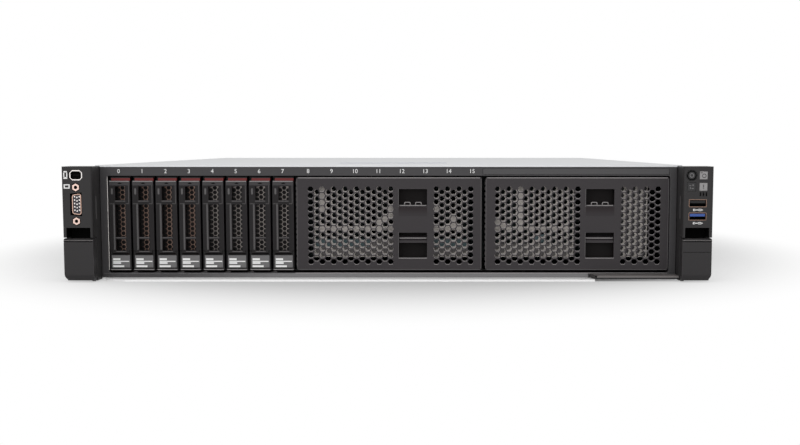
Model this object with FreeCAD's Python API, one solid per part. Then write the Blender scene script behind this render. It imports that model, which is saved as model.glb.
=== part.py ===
import FreeCAD, Part
import math
import os

# A rack server two units high, in millimetres. X runs to the right as seen from the front,
# the front faces -Y, and Z runs up from the underside.

# Clearances and sheet
FIT = 0.3
PIN_FIT = 0.1
SHEET = 1.5
COVER_SHEET = 1.2

# Drive bays: three blocks of eight upright bays
BLOCKS = 3
BAYS_PER_BLOCK = 8
BAY_PITCH = 17.7
BLOCK_MARGIN = 0.4
DRIVE_HEIGHT = 69.85
DRIVE_LENGTH = 100.45
DRIVE_THICKNESS = 14.8
RAIL = 0.6
TRAY_SIDE_GAP = 0.85

# Front frame and ears
BEZEL_POST = 5.3
BEZEL_DEPTH = 12.0
BOTTOM_BAR = 5.4
BEZEL_RELIEF = 1.2
TOP_BAR = 6.45
STRIP_HEIGHT = 5.0
STRIP_DEPTH = 0.8
EAR_GAP = 0.2
EAR_LAP = 4.0
EAR_WIDTH = 22.5
EAR_DEPTH = 30.0
EAR_REACH = 26.0
EAR_INSET = 0.6
EAR_ROUND = 2.0

# Depth of the body behind the bezel, and the reach of the supply handles behind the rear wall
CHASSIS_DEPTH = 738.0
HANDLE_REACH = 22.0

# Lip under the bezel
LIP_REACH = 17.0
LIP_END_GAP = 4.5
LIP_CHAMFER_LENGTH = 16.0
LIP_CHAMFER_DEPTH = 7.5

# Information tab beside the lip
TAB_WIDTH = 64.5
TAB_THICKNESS = 2.4
TAB_SLANT = 8.0
TAB_STEM_WIDTH = 44.0
TAB_STEM_LENGTH = 70.0
TAB_STEM_INSET = 10.0
TAB_HOLE_LENGTH = 10.0
TAB_HOLE_RADIUS = 2.0
TAB_HOLE_INSET = 14.0

# Drive tray front
TRAY_INSET = 1.0
LABEL_HEIGHT = 11.7
LABEL_STEP = 1.0
LABEL_RELIEF = 0.6
TRAY_LEVER_THICKNESS = 3.0
TRAY_LEVER_TOP_BAND = 4.1
UPPER_WINDOW = 10.6
UPPER_RUNG = 3.1
MIDDLE_WINDOW = 24.7
LOWER_RUNG = 1.6
LEVER_FOOT = 2.4
LEFT_PILLAR = 4.5
RIGHT_PILLAR = 3.8
LATCH_HEIGHT = 2.4
LATCH_TRAVEL = 2.0
LATCH_DEPTH = 5.5
LATCH_ROOM = 0.9
LATCH_LIFT = 0.2
TRAY_FRONT_DEPTH = 15.0
TRAY_WALL = 1.5
MESH_PLATE = 1.0
LEVER_PIN_RADIUS = 0.6
PIVOT_WALL = 0.35
LEVER_BEVEL = 0.9
LEVER_END_GAP = 0.5

# Bay fillers
FILLER_MARGIN = 0.6
FILLER_HEADROOM = 0.75
FILLER_DEPTH = 14.0
FILLER_WALL = 1.2
GRILLE_PITCH = 8.4
GRILLE_WEB = 1.4
GRILLE_EDGE = 5.0
GRILLE_NOTCH_GAP = 3.0
NOTCH_LEFT = 78.0
NOTCH_WIDTH = 21.6
UPPER_NOTCH_DROP = 8.85
UPPER_NOTCH_HEIGHT = 19.9
UPPER_NOTCH_SILL = 6.3
LOWER_NOTCH_RISE = 9.3
LOWER_NOTCH_HEIGHT = 19.2
NOTCH_DEPTH = 11.0
PINCH_HEIGHT = 5.0
PINCH_TRAVEL = 2.5
PINCH_INSET = 1.5
PINCH_LIP = 1.6
PINCH_SLOPE = 4.0

# Drive cage and backplane
CAGE_SHEET = 1.0
CAGE_DIVIDER = 0.8
GUIDE_WIDTH = 0.9
GUIDE_HEIGHT = 3.0
GUIDE_SETBACK = 20.0
CONNECTOR_DEPTH = 9.0
CONNECTOR_WIDTH = 4.5
CONNECTOR_HEIGHT = 42.0
BACKPLANE_THICKNESS = 2.4
BACKPLANE_SLOT_WIDTH = 6.0
BACKPLANE_SLOT_HEIGHT = 40.0

# Fan wall
FANS = 4
FAN_ROOM = 60.0
FAN_DEPTH = 40.0
FAN_PITCH = 108.0
FAN_MARGIN = 3.0
FAN_HUB_RADIUS = 17.0
FAN_TIP_GAP = 1.2
FAN_STRUT = 4.0
FAN_STATOR_DEPTH = 8.0
FAN_ROTOR_DEPTH = 26.0
FAN_AXLE_RADIUS = 2.0
FAN_AXLE_LENGTH = 6.0
FAN_BLADES = 5
FAN_BLADE_ROOT = 8.0
FAN_BLADE_CHORD = 24.0
FAN_BLADE_THICKNESS = 1.8
FAN_BLADE_PITCH = 40.0

# Board, processors, memory and accelerator cards
BOARD_GAP = 12.0
BOARD_THICKNESS = 2.0
BOARD_LIFT = 6.0
BOARD_SIDE_GAP = 6.0
STANDOFF_RADIUS = 3.0
SINK_OFFSET = 105.0
SINK_WIDTH = 80.0
SINK_LENGTH = 110.0
SINK_BASE = 6.0
SINK_HEIGHT = 60.0
SINK_FINS = 7
SINK_FIN = 2.0
SINK_SETBACK = 40.0
MEMORY_PER_SIDE = 6
MEMORY_PITCH = 8.0
MEMORY_GAP = 7.0
MEMORY_LENGTH = 133.0
MEMORY_HEIGHT = 31.0
MEMORY_THICKNESS = 1.4
CARD_WIDTH = 104.0
CARD_LENGTH = 267.0
CARD_HEIGHT = 38.0
CARD_WALL = 1.6
CARD_MOUTH = 4.0
CARD_TOP_GAP = 4.0
CARD_SPACING = 12.0
CARD_SIDE_GAP = 8.0
RISER_THICKNESS = 2.0
RISER_LENGTH = 150.0
SOCKET_BLOCK_WIDTH = 90.0
SOCKET_BLOCK_HEIGHT = 14.0
SOCKET_BLOCK_DEPTH = 20.0
SOCKETS = 4
SOCKET_DEPTH = 12.0
SOCKET_WALL = 2.0

# Power supplies at the right of the rear wall
SUPPLY_WIDTH = 73.5
SUPPLY_LENGTH = 185.0
SUPPLY_SIDE_GAP = 4.0
SHELF = 1.0
INLET_WIDTH = 27.0
INLET_HEIGHT = 20.0
INLET_DEPTH = 18.0
INLET_INSET = 6.0
HANDLE_WIDTH = 26.0
HANDLE_BAR = 4.0
HANDLE_HEIGHT = 10.0
RELEASE_THICKNESS = 3.0
RELEASE_REACH = 16.0
RELEASE_TRAVEL = 3.0
RELEASE_ROOM = 1.0
VENT_ROWS = 3
VENT_PITCH = 4.2
VENT_HEIGHT = 2.4
VENT_DEPTH = 4.0

# Top cover, its latch pan and latch
COVER_RAIL = 10.0
PAN_WIDTH = 96.0
PAN_LENGTH = 44.0
PAN_DEPTH = 9.0
PAN_WALL = 2.0
COVER_LATCH_THICKNESS = 4.0
COVER_LATCH_PIN = 1.5
COVER_LATCH_SINK = 0.6

# Ear faces, measured down from the top of each ear
EAR_LEVER_HEIGHT = 32.0
EAR_LEVER_DEPTH = 11.0
EAR_LEVER_WALL = 2.0
EAR_LEVER_ROOM = 0.8
EAR_LIP_HEIGHT = 2.4
EAR_LIP_CHAMFER = 1.4
EAR_GROOVE = 0.6
EAR_PIN_RADIUS = 2.0
EAR_LUG_WIDTH = 12.0
EAR_LEVER_CORNER = 6.0
RECESS_HEIGHT = 8.2
RECESS_DEPTH = 18.0
RECESS_BEHIND_LEVER = 6.0
RECESS_OUTER_WALL = 2.5
RECESS_INNER_WALL = 2.0
RACK_RELIEF = 0.5
PORT_INSET = 0.3
PORT_DEPTH = 12.0
LEFT_PORT_X = 10.3
VIDEO_DROP = 27.8
VIDEO_WIDTH = 8.2
VIDEO_HEIGHT = 17.0
VIDEO_TAPER = 0.8
VIDEO_WALL = 0.8
VIDEO_RECESS = 5.0
JACK_SPACING = 25.0
JACK_RADIUS = 2.9
JACK_BORE = 1.4
DIAGNOSTIC_DROP = 6.4
DIAGNOSTIC_WIDTH = 9.6
DIAGNOSTIC_HEIGHT = 7.7
DIAGNOSTIC_CHAMFER = 2.2
DIAGNOSTIC_WALL = 1.2
BUTTON_X = 6.2
LIGHT_X = 15.0
POWER_DROP = 6.5
BUTTON_ROW_STEP = 8.4
POWER_RADIUS = 3.9
SQUARE_BUTTON = 6.0
BUTTON_DEPTH = 6.0
BUTTON_TRAVEL = 1.0
SLOT_DROP = 20.4
SLOT_PITCH = 2.2
SLOT_WIDTH = 1.3
SLOT_HEIGHT = 3.0
SLOT_DEPTH = 3.0
USB_X = 11.0
USB_DROP = 27.0
USB_STEP = 9.8
USB_WIDTH = 13.2
USB_HEIGHT = 5.8
USB_WALL = 0.5
USB_TONGUE = 1.8

# Slide studs on the side walls
STUD_RADIUS = 4.0
STUD_REACH = 3.0
STUD_SPACING = 190.0
STUD_COUNT = 4
STUD_SETBACK = 60.0
STUD_HEIGHT = 43.0

# Frame of the whole, worked out from the sizes above
BLOCK_PITCH = BAYS_PER_BLOCK * BAY_PITCH + BLOCK_MARGIN
OPEN_HALF = BLOCKS * BLOCK_PITCH / 2
BEZEL_HALF = OPEN_HALF + BEZEL_POST
EAR_IN = BEZEL_HALF + EAR_GAP
HALF = EAR_IN + EAR_LAP
EAR_OUT = EAR_IN + EAR_WIDTH
WALL_IN = HALF - SHEET
TRAY_WIDTH = BAY_PITCH - 2 * TRAY_SIDE_GAP
OPEN_BOTTOM = SHEET + BOTTOM_BAR
TRAY_BOTTOM = OPEN_BOTTOM + FIT
TRAY_TOP = TRAY_BOTTOM + DRIVE_HEIGHT + 2 * RAIL
OPEN_TOP = TRAY_TOP + FIT
COVER_BOTTOM = OPEN_TOP + TOP_BAR + FIT
HEIGHT = COVER_BOTTOM + COVER_SHEET

EAR_FRONT = -(EAR_REACH + CHASSIS_DEPTH + HANDLE_REACH) / 2
FRONT = EAR_FRONT + EAR_REACH
REAR = FRONT + CHASSIS_DEPTH
EAR_BACK = EAR_FRONT + EAR_DEPTH
EAR_TOP = HEIGHT - EAR_INSET
LIP_FRONT = FRONT - LIP_REACH
BEZEL_BACK = FRONT + BEZEL_DEPTH
TRAY_FRONT = FRONT + TRAY_INSET
DRIVE_FRONT = TRAY_FRONT + TRAY_FRONT_DEPTH
DRIVE_BACK = DRIVE_FRONT + DRIVE_LENGTH
BACKPLANE_FRONT = DRIVE_BACK + FIT + CONNECTOR_DEPTH
BACKPLANE_BACK = BACKPLANE_FRONT + BACKPLANE_THICKNESS
FAN_FRONT = BACKPLANE_BACK + FAN_ROOM
FAN_BACK = FAN_FRONT + FAN_DEPTH
FAN_TOP = COVER_BOTTOM - FIT
FAN_RADIUS = (FAN_TOP - SHEET) / 2 - FAN_MARGIN
FAN_Z = (FAN_TOP + SHEET) / 2
FAN_HALF = WALL_IN - 2 * FIT - COVER_SHEET - FIT
STATOR_FRONT = FAN_BACK - FAN_STATOR_DEPTH
ROTOR_BACK = STATOR_FRONT - FIT
WALL_FRONT = REAR - SHEET
BOARD_FRONT = FAN_BACK + BOARD_GAP
BOARD_BACK = WALL_FRONT - FIT
BOARD_TOP = SHEET + BOARD_LIFT + BOARD_THICKNESS
SUPPLY_RIGHT = WALL_IN - SUPPLY_SIDE_GAP
SUPPLY_LEFT = SUPPLY_RIGHT - SUPPLY_WIDTH
PARTITION_RIGHT = SUPPLY_LEFT - FIT
PARTITION_LEFT = PARTITION_RIGHT - SHELF
BAY_FRONT = REAR - SUPPLY_LENGTH
SHELF_BOTTOM = (SHEET + COVER_BOTTOM - SHELF) / 2
SUPPLY_HEIGHT = SHELF_BOTTOM - SHEET - 2 * FIT
CARD_TOP = COVER_BOTTOM - CARD_TOP_GAP
CARD_BOTTOM = CARD_TOP - CARD_HEIGHT
TAB_RIGHT = BEZEL_HALF - FIT
TAB_LEFT = TAB_RIGHT - TAB_WIDTH
LEVER_BOTTOM = TRAY_BOTTOM + LABEL_HEIGHT + LEVER_END_GAP
LATCH_TOP = TRAY_TOP - LATCH_ROOM
LATCH_BOTTOM = LATCH_TOP - LATCH_HEIGHT
LEVER_TOP = LATCH_BOTTOM - LATCH_LIFT
LEVER_AXIS_Y = TRAY_FRONT + TRAY_LEVER_THICKNESS / 2
LEVER_AXIS_Z = LEVER_BOTTOM + LEVER_FOOT / 2
PIVOT_RADIUS = LEVER_PIN_RADIUS + PIVOT_WALL
FILLER_TOP = TRAY_TOP - FILLER_HEADROOM
EAR_LEVER_BOTTOM = EAR_INSET
EAR_LEVER_TOP = EAR_LEVER_BOTTOM + EAR_LEVER_HEIGHT
EAR_LEVER_RADIUS = EAR_LEVER_DEPTH / 2
EAR_AXIS_Y = EAR_FRONT + EAR_LEVER_RADIUS
EAR_AXIS_Z = EAR_LEVER_BOTTOM + EAR_LEVER_RADIUS
RECESS_TOP = EAR_LEVER_TOP + RECESS_HEIGHT
RECESS_BOTTOM = EAR_LEVER_TOP - RECESS_BEHIND_LEVER
PAN_FRONT = BACKPLANE_BACK + (FAN_ROOM - PAN_LENGTH) / 2
PAN_BACK = PAN_FRONT + PAN_LENGTH
COVER_LATCH_TOP = HEIGHT - COVER_LATCH_SINK
COVER_LATCH_Y = PAN_BACK - PAN_WALL - FIT - COVER_LATCH_THICKNESS / 2
COVER_LATCH_Z = COVER_LATCH_TOP - COVER_LATCH_THICKNESS / 2
COVER_LATCH_HALF = PAN_WIDTH / 2 - PAN_WALL - FIT


# Shape helpers

def box(x, y, z):
    """A block from three (low, high) spans."""
    corner = FreeCAD.Vector(x[0], y[0], z[0])
    return Part.makeBox(x[1] - x[0], y[1] - y[0], z[1] - z[0], corner)


def rod(radius, start, axis, length):
    """A cylinder from a start point along a unit axis."""
    return Part.makeCylinder(radius, length, FreeCAD.Vector(*start), FreeCAD.Vector(*axis))


def rod_x(radius, x, y, z):
    return rod(radius, (x[0], y, z), (1, 0, 0), x[1] - x[0])


def rod_y(radius, x, y, z):
    return rod(radius, (x, y[0], z), (0, 1, 0), y[1] - y[0])


def rod_z(radius, x, y, z):
    return rod(radius, (x, y, z[0]), (0, 0, 1), z[1] - z[0])


def extrude(points, direction):
    """A prism from a closed outline of points and a direction."""
    outline = [FreeCAD.Vector(*point) for point in points]
    face = Part.Face(Part.makePolygon(outline + outline[:1]))
    return face.extrude(FreeCAD.Vector(*direction))


def prism_x(points, x):
    return extrude([(x[0], y, z) for y, z in points], (x[1] - x[0], 0, 0))


def prism_y(points, y):
    return extrude([(x, y[0], z) for x, z in points], (0, y[1] - y[0], 0))


def prism_z(points, z):
    return extrude([(x, y, z[0]) for x, y in points], (0, 0, z[1] - z[0]))


def fuse(*shapes):
    """One clean solid from touching shapes."""
    return shapes[0].multiFuse(list(shapes[1:])).removeSplitter()


def span(centre, size):
    return (centre - size / 2, centre + size / 2)


def mirrored(x, side):
    """An X span on the right, or its mirror image on the left."""
    return x if side > 0 else (-x[1], -x[0])


def save(name, *shapes):
    """Write one node."""
    whole = shapes[0] if len(shapes) == 1 else Part.makeCompound(list(shapes))
    whole.exportStep(os.path.join("parts", name + ".step"))


# Chassis

def lip_plate():
    left = -BEZEL_HALF + LIP_END_GAP
    right = TAB_LEFT - FIT
    return prism_z(
        [
            (-BEZEL_HALF, EAR_BACK),
            (-BEZEL_HALF, FRONT),
            (left, FRONT),
            (left, LIP_FRONT + LIP_CHAMFER_DEPTH),
            (left + LIP_CHAMFER_LENGTH, LIP_FRONT),
            (right - TAB_SLANT, LIP_FRONT),
            (right, FRONT),
            (BEZEL_HALF, FRONT),
            (BEZEL_HALF, EAR_BACK),
        ],
        (0, SHEET),
    )


def slide_studs():
    studs = []
    for side in (-1, 1):
        for index in range(STUD_COUNT):
            y = EAR_BACK + STUD_SETBACK + index * STUD_SPACING
            studs.append(rod_x(STUD_RADIUS, mirrored((HALF, HALF + STUD_REACH), side), y, STUD_HEIGHT))
    return studs


def chassis_tray():
    depth = (EAR_BACK, REAR)
    floor = box((-HALF, HALF), depth, (0, SHEET))
    walls = [box(mirrored((WALL_IN, HALF), side), depth, (0, COVER_BOTTOM)) for side in (-1, 1)]
    bay = (BAY_FRONT, WALL_FRONT)
    partition = box((PARTITION_LEFT, PARTITION_RIGHT), bay, (SHEET, COVER_BOTTOM - FIT))
    shelf = box((PARTITION_RIGHT, WALL_IN), bay, (SHELF_BOTTOM, SHELF_BOTTOM + SHELF))
    return fuse(floor, lip_plate(), *walls, partition, shelf, *slide_studs())


def supply_spans():
    """The height spans of the lower and the upper power supply."""
    lower = SHEET + FIT
    upper = SHELF_BOTTOM + SHELF + FIT
    return [(lower, lower + SUPPLY_HEIGHT), (upper, upper + SUPPLY_HEIGHT)]


def card_spans():
    """The width spans of the two accelerator cards, from the left wall inwards."""
    left = -WALL_IN + CARD_SIDE_GAP
    step = CARD_WIDTH + RISER_THICKNESS + CARD_SPACING
    return [(left + index * step, left + index * step + CARD_WIDTH) for index in range(2)]


def socket_block_span():
    left = card_spans()[0][0]
    return (left, left + SOCKET_BLOCK_WIDTH)


def rear_wall():
    depth = (WALL_FRONT, REAR)
    wall = box((-WALL_IN, WALL_IN), depth, (SHEET, COVER_BOTTOM))
    rail = COVER_SHEET + 2 * FIT
    for side in (-1, 1):
        corner = mirrored((WALL_IN - rail - FIT, WALL_IN), side)
        wall = wall.cut(box(corner, depth, (COVER_BOTTOM - COVER_RAIL - FIT, COVER_BOTTOM)))
    for low, high in supply_spans():
        wall = wall.cut(box((SUPPLY_LEFT - FIT, SUPPLY_RIGHT + FIT), depth, (low - FIT, high + FIT)))
    for x in card_spans():
        wall = wall.cut(card_mouth(x, depth))
    left, right = socket_block_span()
    block = (BOARD_TOP - FIT, BOARD_TOP + SOCKET_BLOCK_HEIGHT + FIT)
    return wall.cut(box((left - FIT, right + FIT), depth, block))


# Front frame

def front_bezel():
    """A frame of two rails and two end posts that stand between them."""
    depth = (FRONT, BEZEL_BACK)
    across = (-BEZEL_HALF, BEZEL_HALF)
    strip_z = span(OPEN_TOP + TOP_BAR / 2, STRIP_HEIGHT)
    strip = box((BLOCK_PITCH / 2, OPEN_HALF), (FRONT, FRONT + STRIP_DEPTH), strip_z)
    upper = box(across, depth, (OPEN_TOP, COVER_BOTTOM - FIT)).cut(strip)
    stem = stem_span()
    slot = box((stem[0] - FIT, stem[1] + FIT), depth, (SHEET, SHEET + TAB_THICKNESS + 2 * FIT))
    lower_top = OPEN_BOTTOM - BEZEL_RELIEF
    lower = box(across, depth, (SHEET, lower_top)).cut(slot)
    post_z = (lower_top, OPEN_TOP)
    posts = [box(mirrored((OPEN_HALF, BEZEL_HALF), side), depth, post_z) for side in (-1, 1)]
    return [upper, lower, *posts]


def stem_span():
    right = TAB_RIGHT - TAB_STEM_INSET
    return (right - TAB_STEM_WIDTH, right)


def info_tab():
    z = (SHEET + FIT, SHEET + FIT + TAB_THICKNESS)
    back = FRONT - FIT
    grip = prism_z(
        [
            (TAB_LEFT, back),
            (TAB_LEFT - TAB_SLANT, LIP_FRONT),
            (TAB_RIGHT, LIP_FRONT),
            (TAB_RIGHT, back),
        ],
        z,
    )
    stem = box(stem_span(), (back, FRONT + TAB_STEM_LENGTH), z)
    hole_x = TAB_LEFT + TAB_HOLE_INSET
    hole_y = FRONT - LIP_REACH / 2
    hole = fuse(
        rod_z(TAB_HOLE_RADIUS, hole_x, hole_y, z),
        rod_z(TAB_HOLE_RADIUS, hole_x + TAB_HOLE_LENGTH, hole_y, z),
        box((hole_x, hole_x + TAB_HOLE_LENGTH), span(hole_y, 2 * TAB_HOLE_RADIUS), z),
    )
    return fuse(grip, stem).cut(hole)


# Drive trays

def bay_centre(bay):
    return -OPEN_HALF + BLOCK_MARGIN / 2 + BAY_PITCH * (bay + 0.5)


def tray_span(bay):
    return span(bay_centre(bay), TRAY_WIDTH)


def window_span(bay):
    left, right = tray_span(bay)
    return (left + LEFT_PILLAR, right - RIGHT_PILLAR)


def lever_windows():
    """The height spans of the upper, middle and lower windows."""
    upper = LEVER_TOP - TRAY_LEVER_TOP_BAND
    middle = upper - UPPER_WINDOW - UPPER_RUNG
    lower = middle - MIDDLE_WINDOW - LOWER_RUNG
    foot = LEVER_BOTTOM + LEVER_FOOT
    return [(upper - UPPER_WINDOW, upper), (middle - MIDDLE_WINDOW, middle), (foot, lower)]


def cheek_spans(bay, room):
    """The width spans of the two cheeks beside the lever's foot, with room on their inner sides."""
    left, right = tray_span(bay)
    return [(left, left + TRAY_WALL + room), (right - TRAY_WALL - room, right)]


def tray_lever(bay):
    """A plate with three windows, and a narrower foot that is bevelled so that it can turn."""
    x = tray_span(bay)
    front = TRAY_FRONT
    back = TRAY_FRONT + TRAY_LEVER_THICKNESS
    lever = prism_x(
        [
            (front, LEVER_TOP),
            (front, LEVER_BOTTOM + LEVER_BEVEL),
            (front + LEVER_BEVEL, LEVER_BOTTOM),
            (back - LEVER_BEVEL, LEVER_BOTTOM),
            (back, LEVER_BOTTOM + LEVER_BEVEL),
            (back, LEVER_TOP),
        ],
        x,
    )
    y = (front, back)
    for z in lever_windows():
        lever = lever.cut(box(window_span(bay), y, z))
    shoulder = LEVER_AXIS_Z + PIVOT_RADIUS + LEVER_END_GAP
    for edge in cheek_spans(bay, FIT):
        lever = lever.cut(box(edge, y, (LEVER_BOTTOM, shoulder)))
    return lever.cut(rod_x(LEVER_PIN_RADIUS + PIN_FIT, x, LEVER_AXIS_Y, LEVER_AXIS_Z))


def tray_latch(bay):
    left, right = tray_span(bay)
    y = (TRAY_FRONT + LABEL_RELIEF, TRAY_FRONT + LABEL_RELIEF + LATCH_DEPTH)
    return box((left + LATCH_TRAVEL, right), y, (LATCH_BOTTOM, LATCH_TOP))


def lever_pivot(bay):
    """The cheeks beside the lever's foot and the pin that they hold."""
    y = (LEVER_AXIS_Y - PIVOT_RADIUS, TRAY_FRONT + TRAY_LEVER_THICKNESS + FIT)
    z = (LEVER_BOTTOM - LEVER_END_GAP, LEVER_AXIS_Z + PIVOT_RADIUS)
    cheeks = [box(edge, y, z) for edge in cheek_spans(bay, 0)]
    left, right = tray_span(bay)
    pin_x = (left + TRAY_WALL / 2, right - TRAY_WALL / 2)
    return fuse(*cheeks, rod_x(LEVER_PIN_RADIUS, pin_x, LEVER_AXIS_Y, LEVER_AXIS_Z))


def carrier(bay):
    x = tray_span(bay)
    behind_lever = TRAY_FRONT + TRAY_LEVER_THICKNESS + FIT
    behind_latch = TRAY_FRONT + LABEL_RELIEF + LATCH_DEPTH
    top_bar = box(x, (behind_latch, DRIVE_FRONT), (LEVER_TOP - TRAY_LEVER_TOP_BAND, TRAY_TOP))
    foot = box(x, (TRAY_FRONT + LABEL_RELIEF, DRIVE_FRONT), (TRAY_BOTTOM, LEVER_BOTTOM - LEVER_END_GAP))
    label_z = (TRAY_BOTTOM + LABEL_STEP, LEVER_BOTTOM - LEVER_END_GAP)
    label = box(x, (TRAY_FRONT, TRAY_FRONT + LABEL_RELIEF), label_z)
    walls = [
        box(edge, (behind_lever, DRIVE_FRONT), (TRAY_BOTTOM, LEVER_TOP))
        for edge in ((x[0], x[0] + TRAY_WALL), (x[1] - TRAY_WALL, x[1]))
    ]
    mesh = box(x, (DRIVE_FRONT - MESH_PLATE, DRIVE_FRONT), (TRAY_BOTTOM, TRAY_TOP))
    for z in lever_windows():
        mesh = mesh.cut(box(window_span(bay), (DRIVE_FRONT - MESH_PLATE, DRIVE_FRONT), z))
    along = (DRIVE_FRONT, DRIVE_BACK)
    rails = [box(x, along, (z, z + RAIL)) for z in (TRAY_BOTTOM, TRAY_TOP - RAIL)]
    return fuse(foot, label, *walls, top_bar, mesh, *rails, lever_pivot(bay))


def drive(bay):
    z = (TRAY_BOTTOM + RAIL, TRAY_TOP - RAIL)
    return box(span(bay_centre(bay), DRIVE_THICKNESS), (DRIVE_FRONT, DRIVE_BACK), z)


# Bay fillers

def filler_span(block):
    left = -OPEN_HALF + block * BLOCK_PITCH + FILLER_MARGIN
    return (left, left + BLOCK_PITCH - 2 * FILLER_MARGIN)


def notch_x(block):
    left = filler_span(block)[0] + NOTCH_LEFT
    return (left, left + NOTCH_WIDTH)


def notch_heights():
    """The height spans of the lower and the upper finger notch."""
    low = TRAY_BOTTOM + LOWER_NOTCH_RISE
    high = FILLER_TOP - UPPER_NOTCH_DROP
    return [(low, low + LOWER_NOTCH_HEIGHT), (high - UPPER_NOTCH_HEIGHT, high)]


def hexagon(x, z, radius):
    corners = [math.radians(60 * corner) for corner in range(6)]
    return [(x + radius * math.cos(angle), z + radius * math.sin(angle)) for angle in corners]


def grille_holes(x, z, y):
    """Hexagonal prisms on a staggered lattice that fills one panel."""
    radius = (GRILLE_PITCH - GRILLE_WEB) / math.sqrt(3)
    step = GRILLE_PITCH * math.sqrt(3) / 2
    columns = int((x[1] - x[0] - 2 * radius) / step) + 1
    rows = int((z[1] - z[0] - GRILLE_PITCH + GRILLE_WEB) / GRILLE_PITCH) + 1
    first_x = sum(x) / 2 - (columns - 1) * step / 2
    first_z = sum(z) / 2 - (rows - 1) * GRILLE_PITCH / 2
    holes = []
    for column in range(columns):
        short = column % 2
        for row in range(rows - short):
            centre_z = first_z + (row + short / 2) * GRILLE_PITCH
            holes.append(prism_y(hexagon(first_x + column * step, centre_z, radius), y))
    return holes


def filler(block):
    """A perforated shell with two finger notches, the upper one behind a sill."""
    x = filler_span(block)
    y = (TRAY_FRONT, TRAY_FRONT + FILLER_DEPTH)
    z = (TRAY_BOTTOM, FILLER_TOP)
    inner = [(low + FILLER_WALL, high - FILLER_WALL) for low, high in (x, z)]
    front = (TRAY_FRONT, TRAY_FRONT + FILLER_WALL)
    shell = box(x, y, z).cut(box(inner[0], (front[1], y[1]), inner[1]))
    notch = notch_x(block)
    around = (notch[0] - FILLER_WALL, notch[1] + FILLER_WALL)
    pocket_back = TRAY_FRONT + NOTCH_DEPTH
    for sill, (low, high) in zip((0, UPPER_NOTCH_SILL), notch_heights()):
        pocket = box(around, (front[1], pocket_back + FILLER_WALL), (low - FILLER_WALL, high + FILLER_WALL))
        shell = fuse(shell, pocket).cut(box(notch, (front[1], pocket_back), (low, high)))
        shell = shell.cut(box(notch, front, (low + sill, high)))
    panel_z = (z[0] + GRILLE_EDGE, z[1] - GRILLE_EDGE)
    left_panel = (x[0] + GRILLE_EDGE, notch[0] - GRILLE_NOTCH_GAP)
    right_panel = (notch[1] + GRILLE_NOTCH_GAP, x[1] - GRILLE_EDGE)
    holes = grille_holes(left_panel, panel_z, front) + grille_holes(right_panel, panel_z, front)
    return shell.cut(Part.makeCompound(holes))


def pinch_tab(block, upper):
    """A tab with a sloped face and a finger lip, at the near end of its notch."""
    low, high = notch_heights()[1 if upper else 0]
    notch = notch_x(block)
    back = TRAY_FRONT + NOTCH_DEPTH
    lip_front = TRAY_FRONT + PINCH_INSET
    root = low + PINCH_TRAVEL + FIT if upper else high - PINCH_TRAVEL - FIT
    away = 1 if upper else -1
    tip = root + away * PINCH_HEIGHT
    profile = [
        (back, root),
        (lip_front + PINCH_SLOPE, root),
        (lip_front, tip - away * PINCH_LIP),
        (lip_front, tip),
        (back, tip),
    ]
    return prism_x(profile, (notch[0] + FIT, notch[1] - FIT))


# Drive cage and backplane

def drive_cage():
    y = (BEZEL_BACK, BACKPLANE_FRONT)
    plate_x = (-OPEN_HALF - CAGE_SHEET, OPEN_HALF + CAGE_SHEET)
    bottom = box(plate_x, y, (OPEN_BOTTOM - CAGE_SHEET, OPEN_BOTTOM))
    top = box(plate_x, y, (OPEN_TOP, OPEN_TOP + CAGE_SHEET))
    side_z = (SHEET, OPEN_TOP + CAGE_SHEET)
    sides = [box(mirrored((OPEN_HALF, OPEN_HALF + CAGE_SHEET), side), y, side_z) for side in (-1, 1)]
    pieces = [bottom, top, *sides]
    guide_y = (BEZEL_BACK + GUIDE_SETBACK, BACKPLANE_FRONT)
    for block in range(BLOCKS):
        left = -OPEN_HALF + block * BLOCK_PITCH
        if block:
            pieces.append(box(span(left, CAGE_DIVIDER), y, (OPEN_BOTTOM, OPEN_TOP)))
        for guide in range(1, BAYS_PER_BLOCK):
            guide_x = span(left + BLOCK_MARGIN / 2 + guide * BAY_PITCH, GUIDE_WIDTH)
            pieces.append(box(guide_x, guide_y, (OPEN_BOTTOM, OPEN_BOTTOM + GUIDE_HEIGHT)))
            pieces.append(box(guide_x, guide_y, (OPEN_TOP - GUIDE_HEIGHT, OPEN_TOP)))
    return fuse(*pieces)


def backplane():
    y = (BACKPLANE_FRONT, BACKPLANE_BACK)
    half = OPEN_HALF + CAGE_SHEET
    board = box((-half, half), y, (OPEN_BOTTOM - CAGE_SHEET, OPEN_TOP + CAGE_SHEET))
    middle = (OPEN_BOTTOM + OPEN_TOP) / 2
    slots = []
    connectors = []
    for block in range(BLOCKS):
        for bay in range(BAYS_PER_BLOCK):
            centre = bay_centre(bay) + block * BLOCK_PITCH
            plug_y = (BACKPLANE_FRONT - CONNECTOR_DEPTH, BACKPLANE_FRONT)
            plug_z = span(middle, CONNECTOR_HEIGHT)
            connectors.append(box(span(centre, CONNECTOR_WIDTH), plug_y, plug_z))
            if bay:
                slot_x = span(centre - BAY_PITCH / 2, BACKPLANE_SLOT_WIDTH)
                slots.append(box(slot_x, y, span(middle, BACKPLANE_SLOT_HEIGHT)))
    return fuse(board.cut(Part.makeCompound(slots)), *connectors)


# Fans

def fan_x(index):
    return (index - (FANS - 1) / 2) * FAN_PITCH


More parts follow.
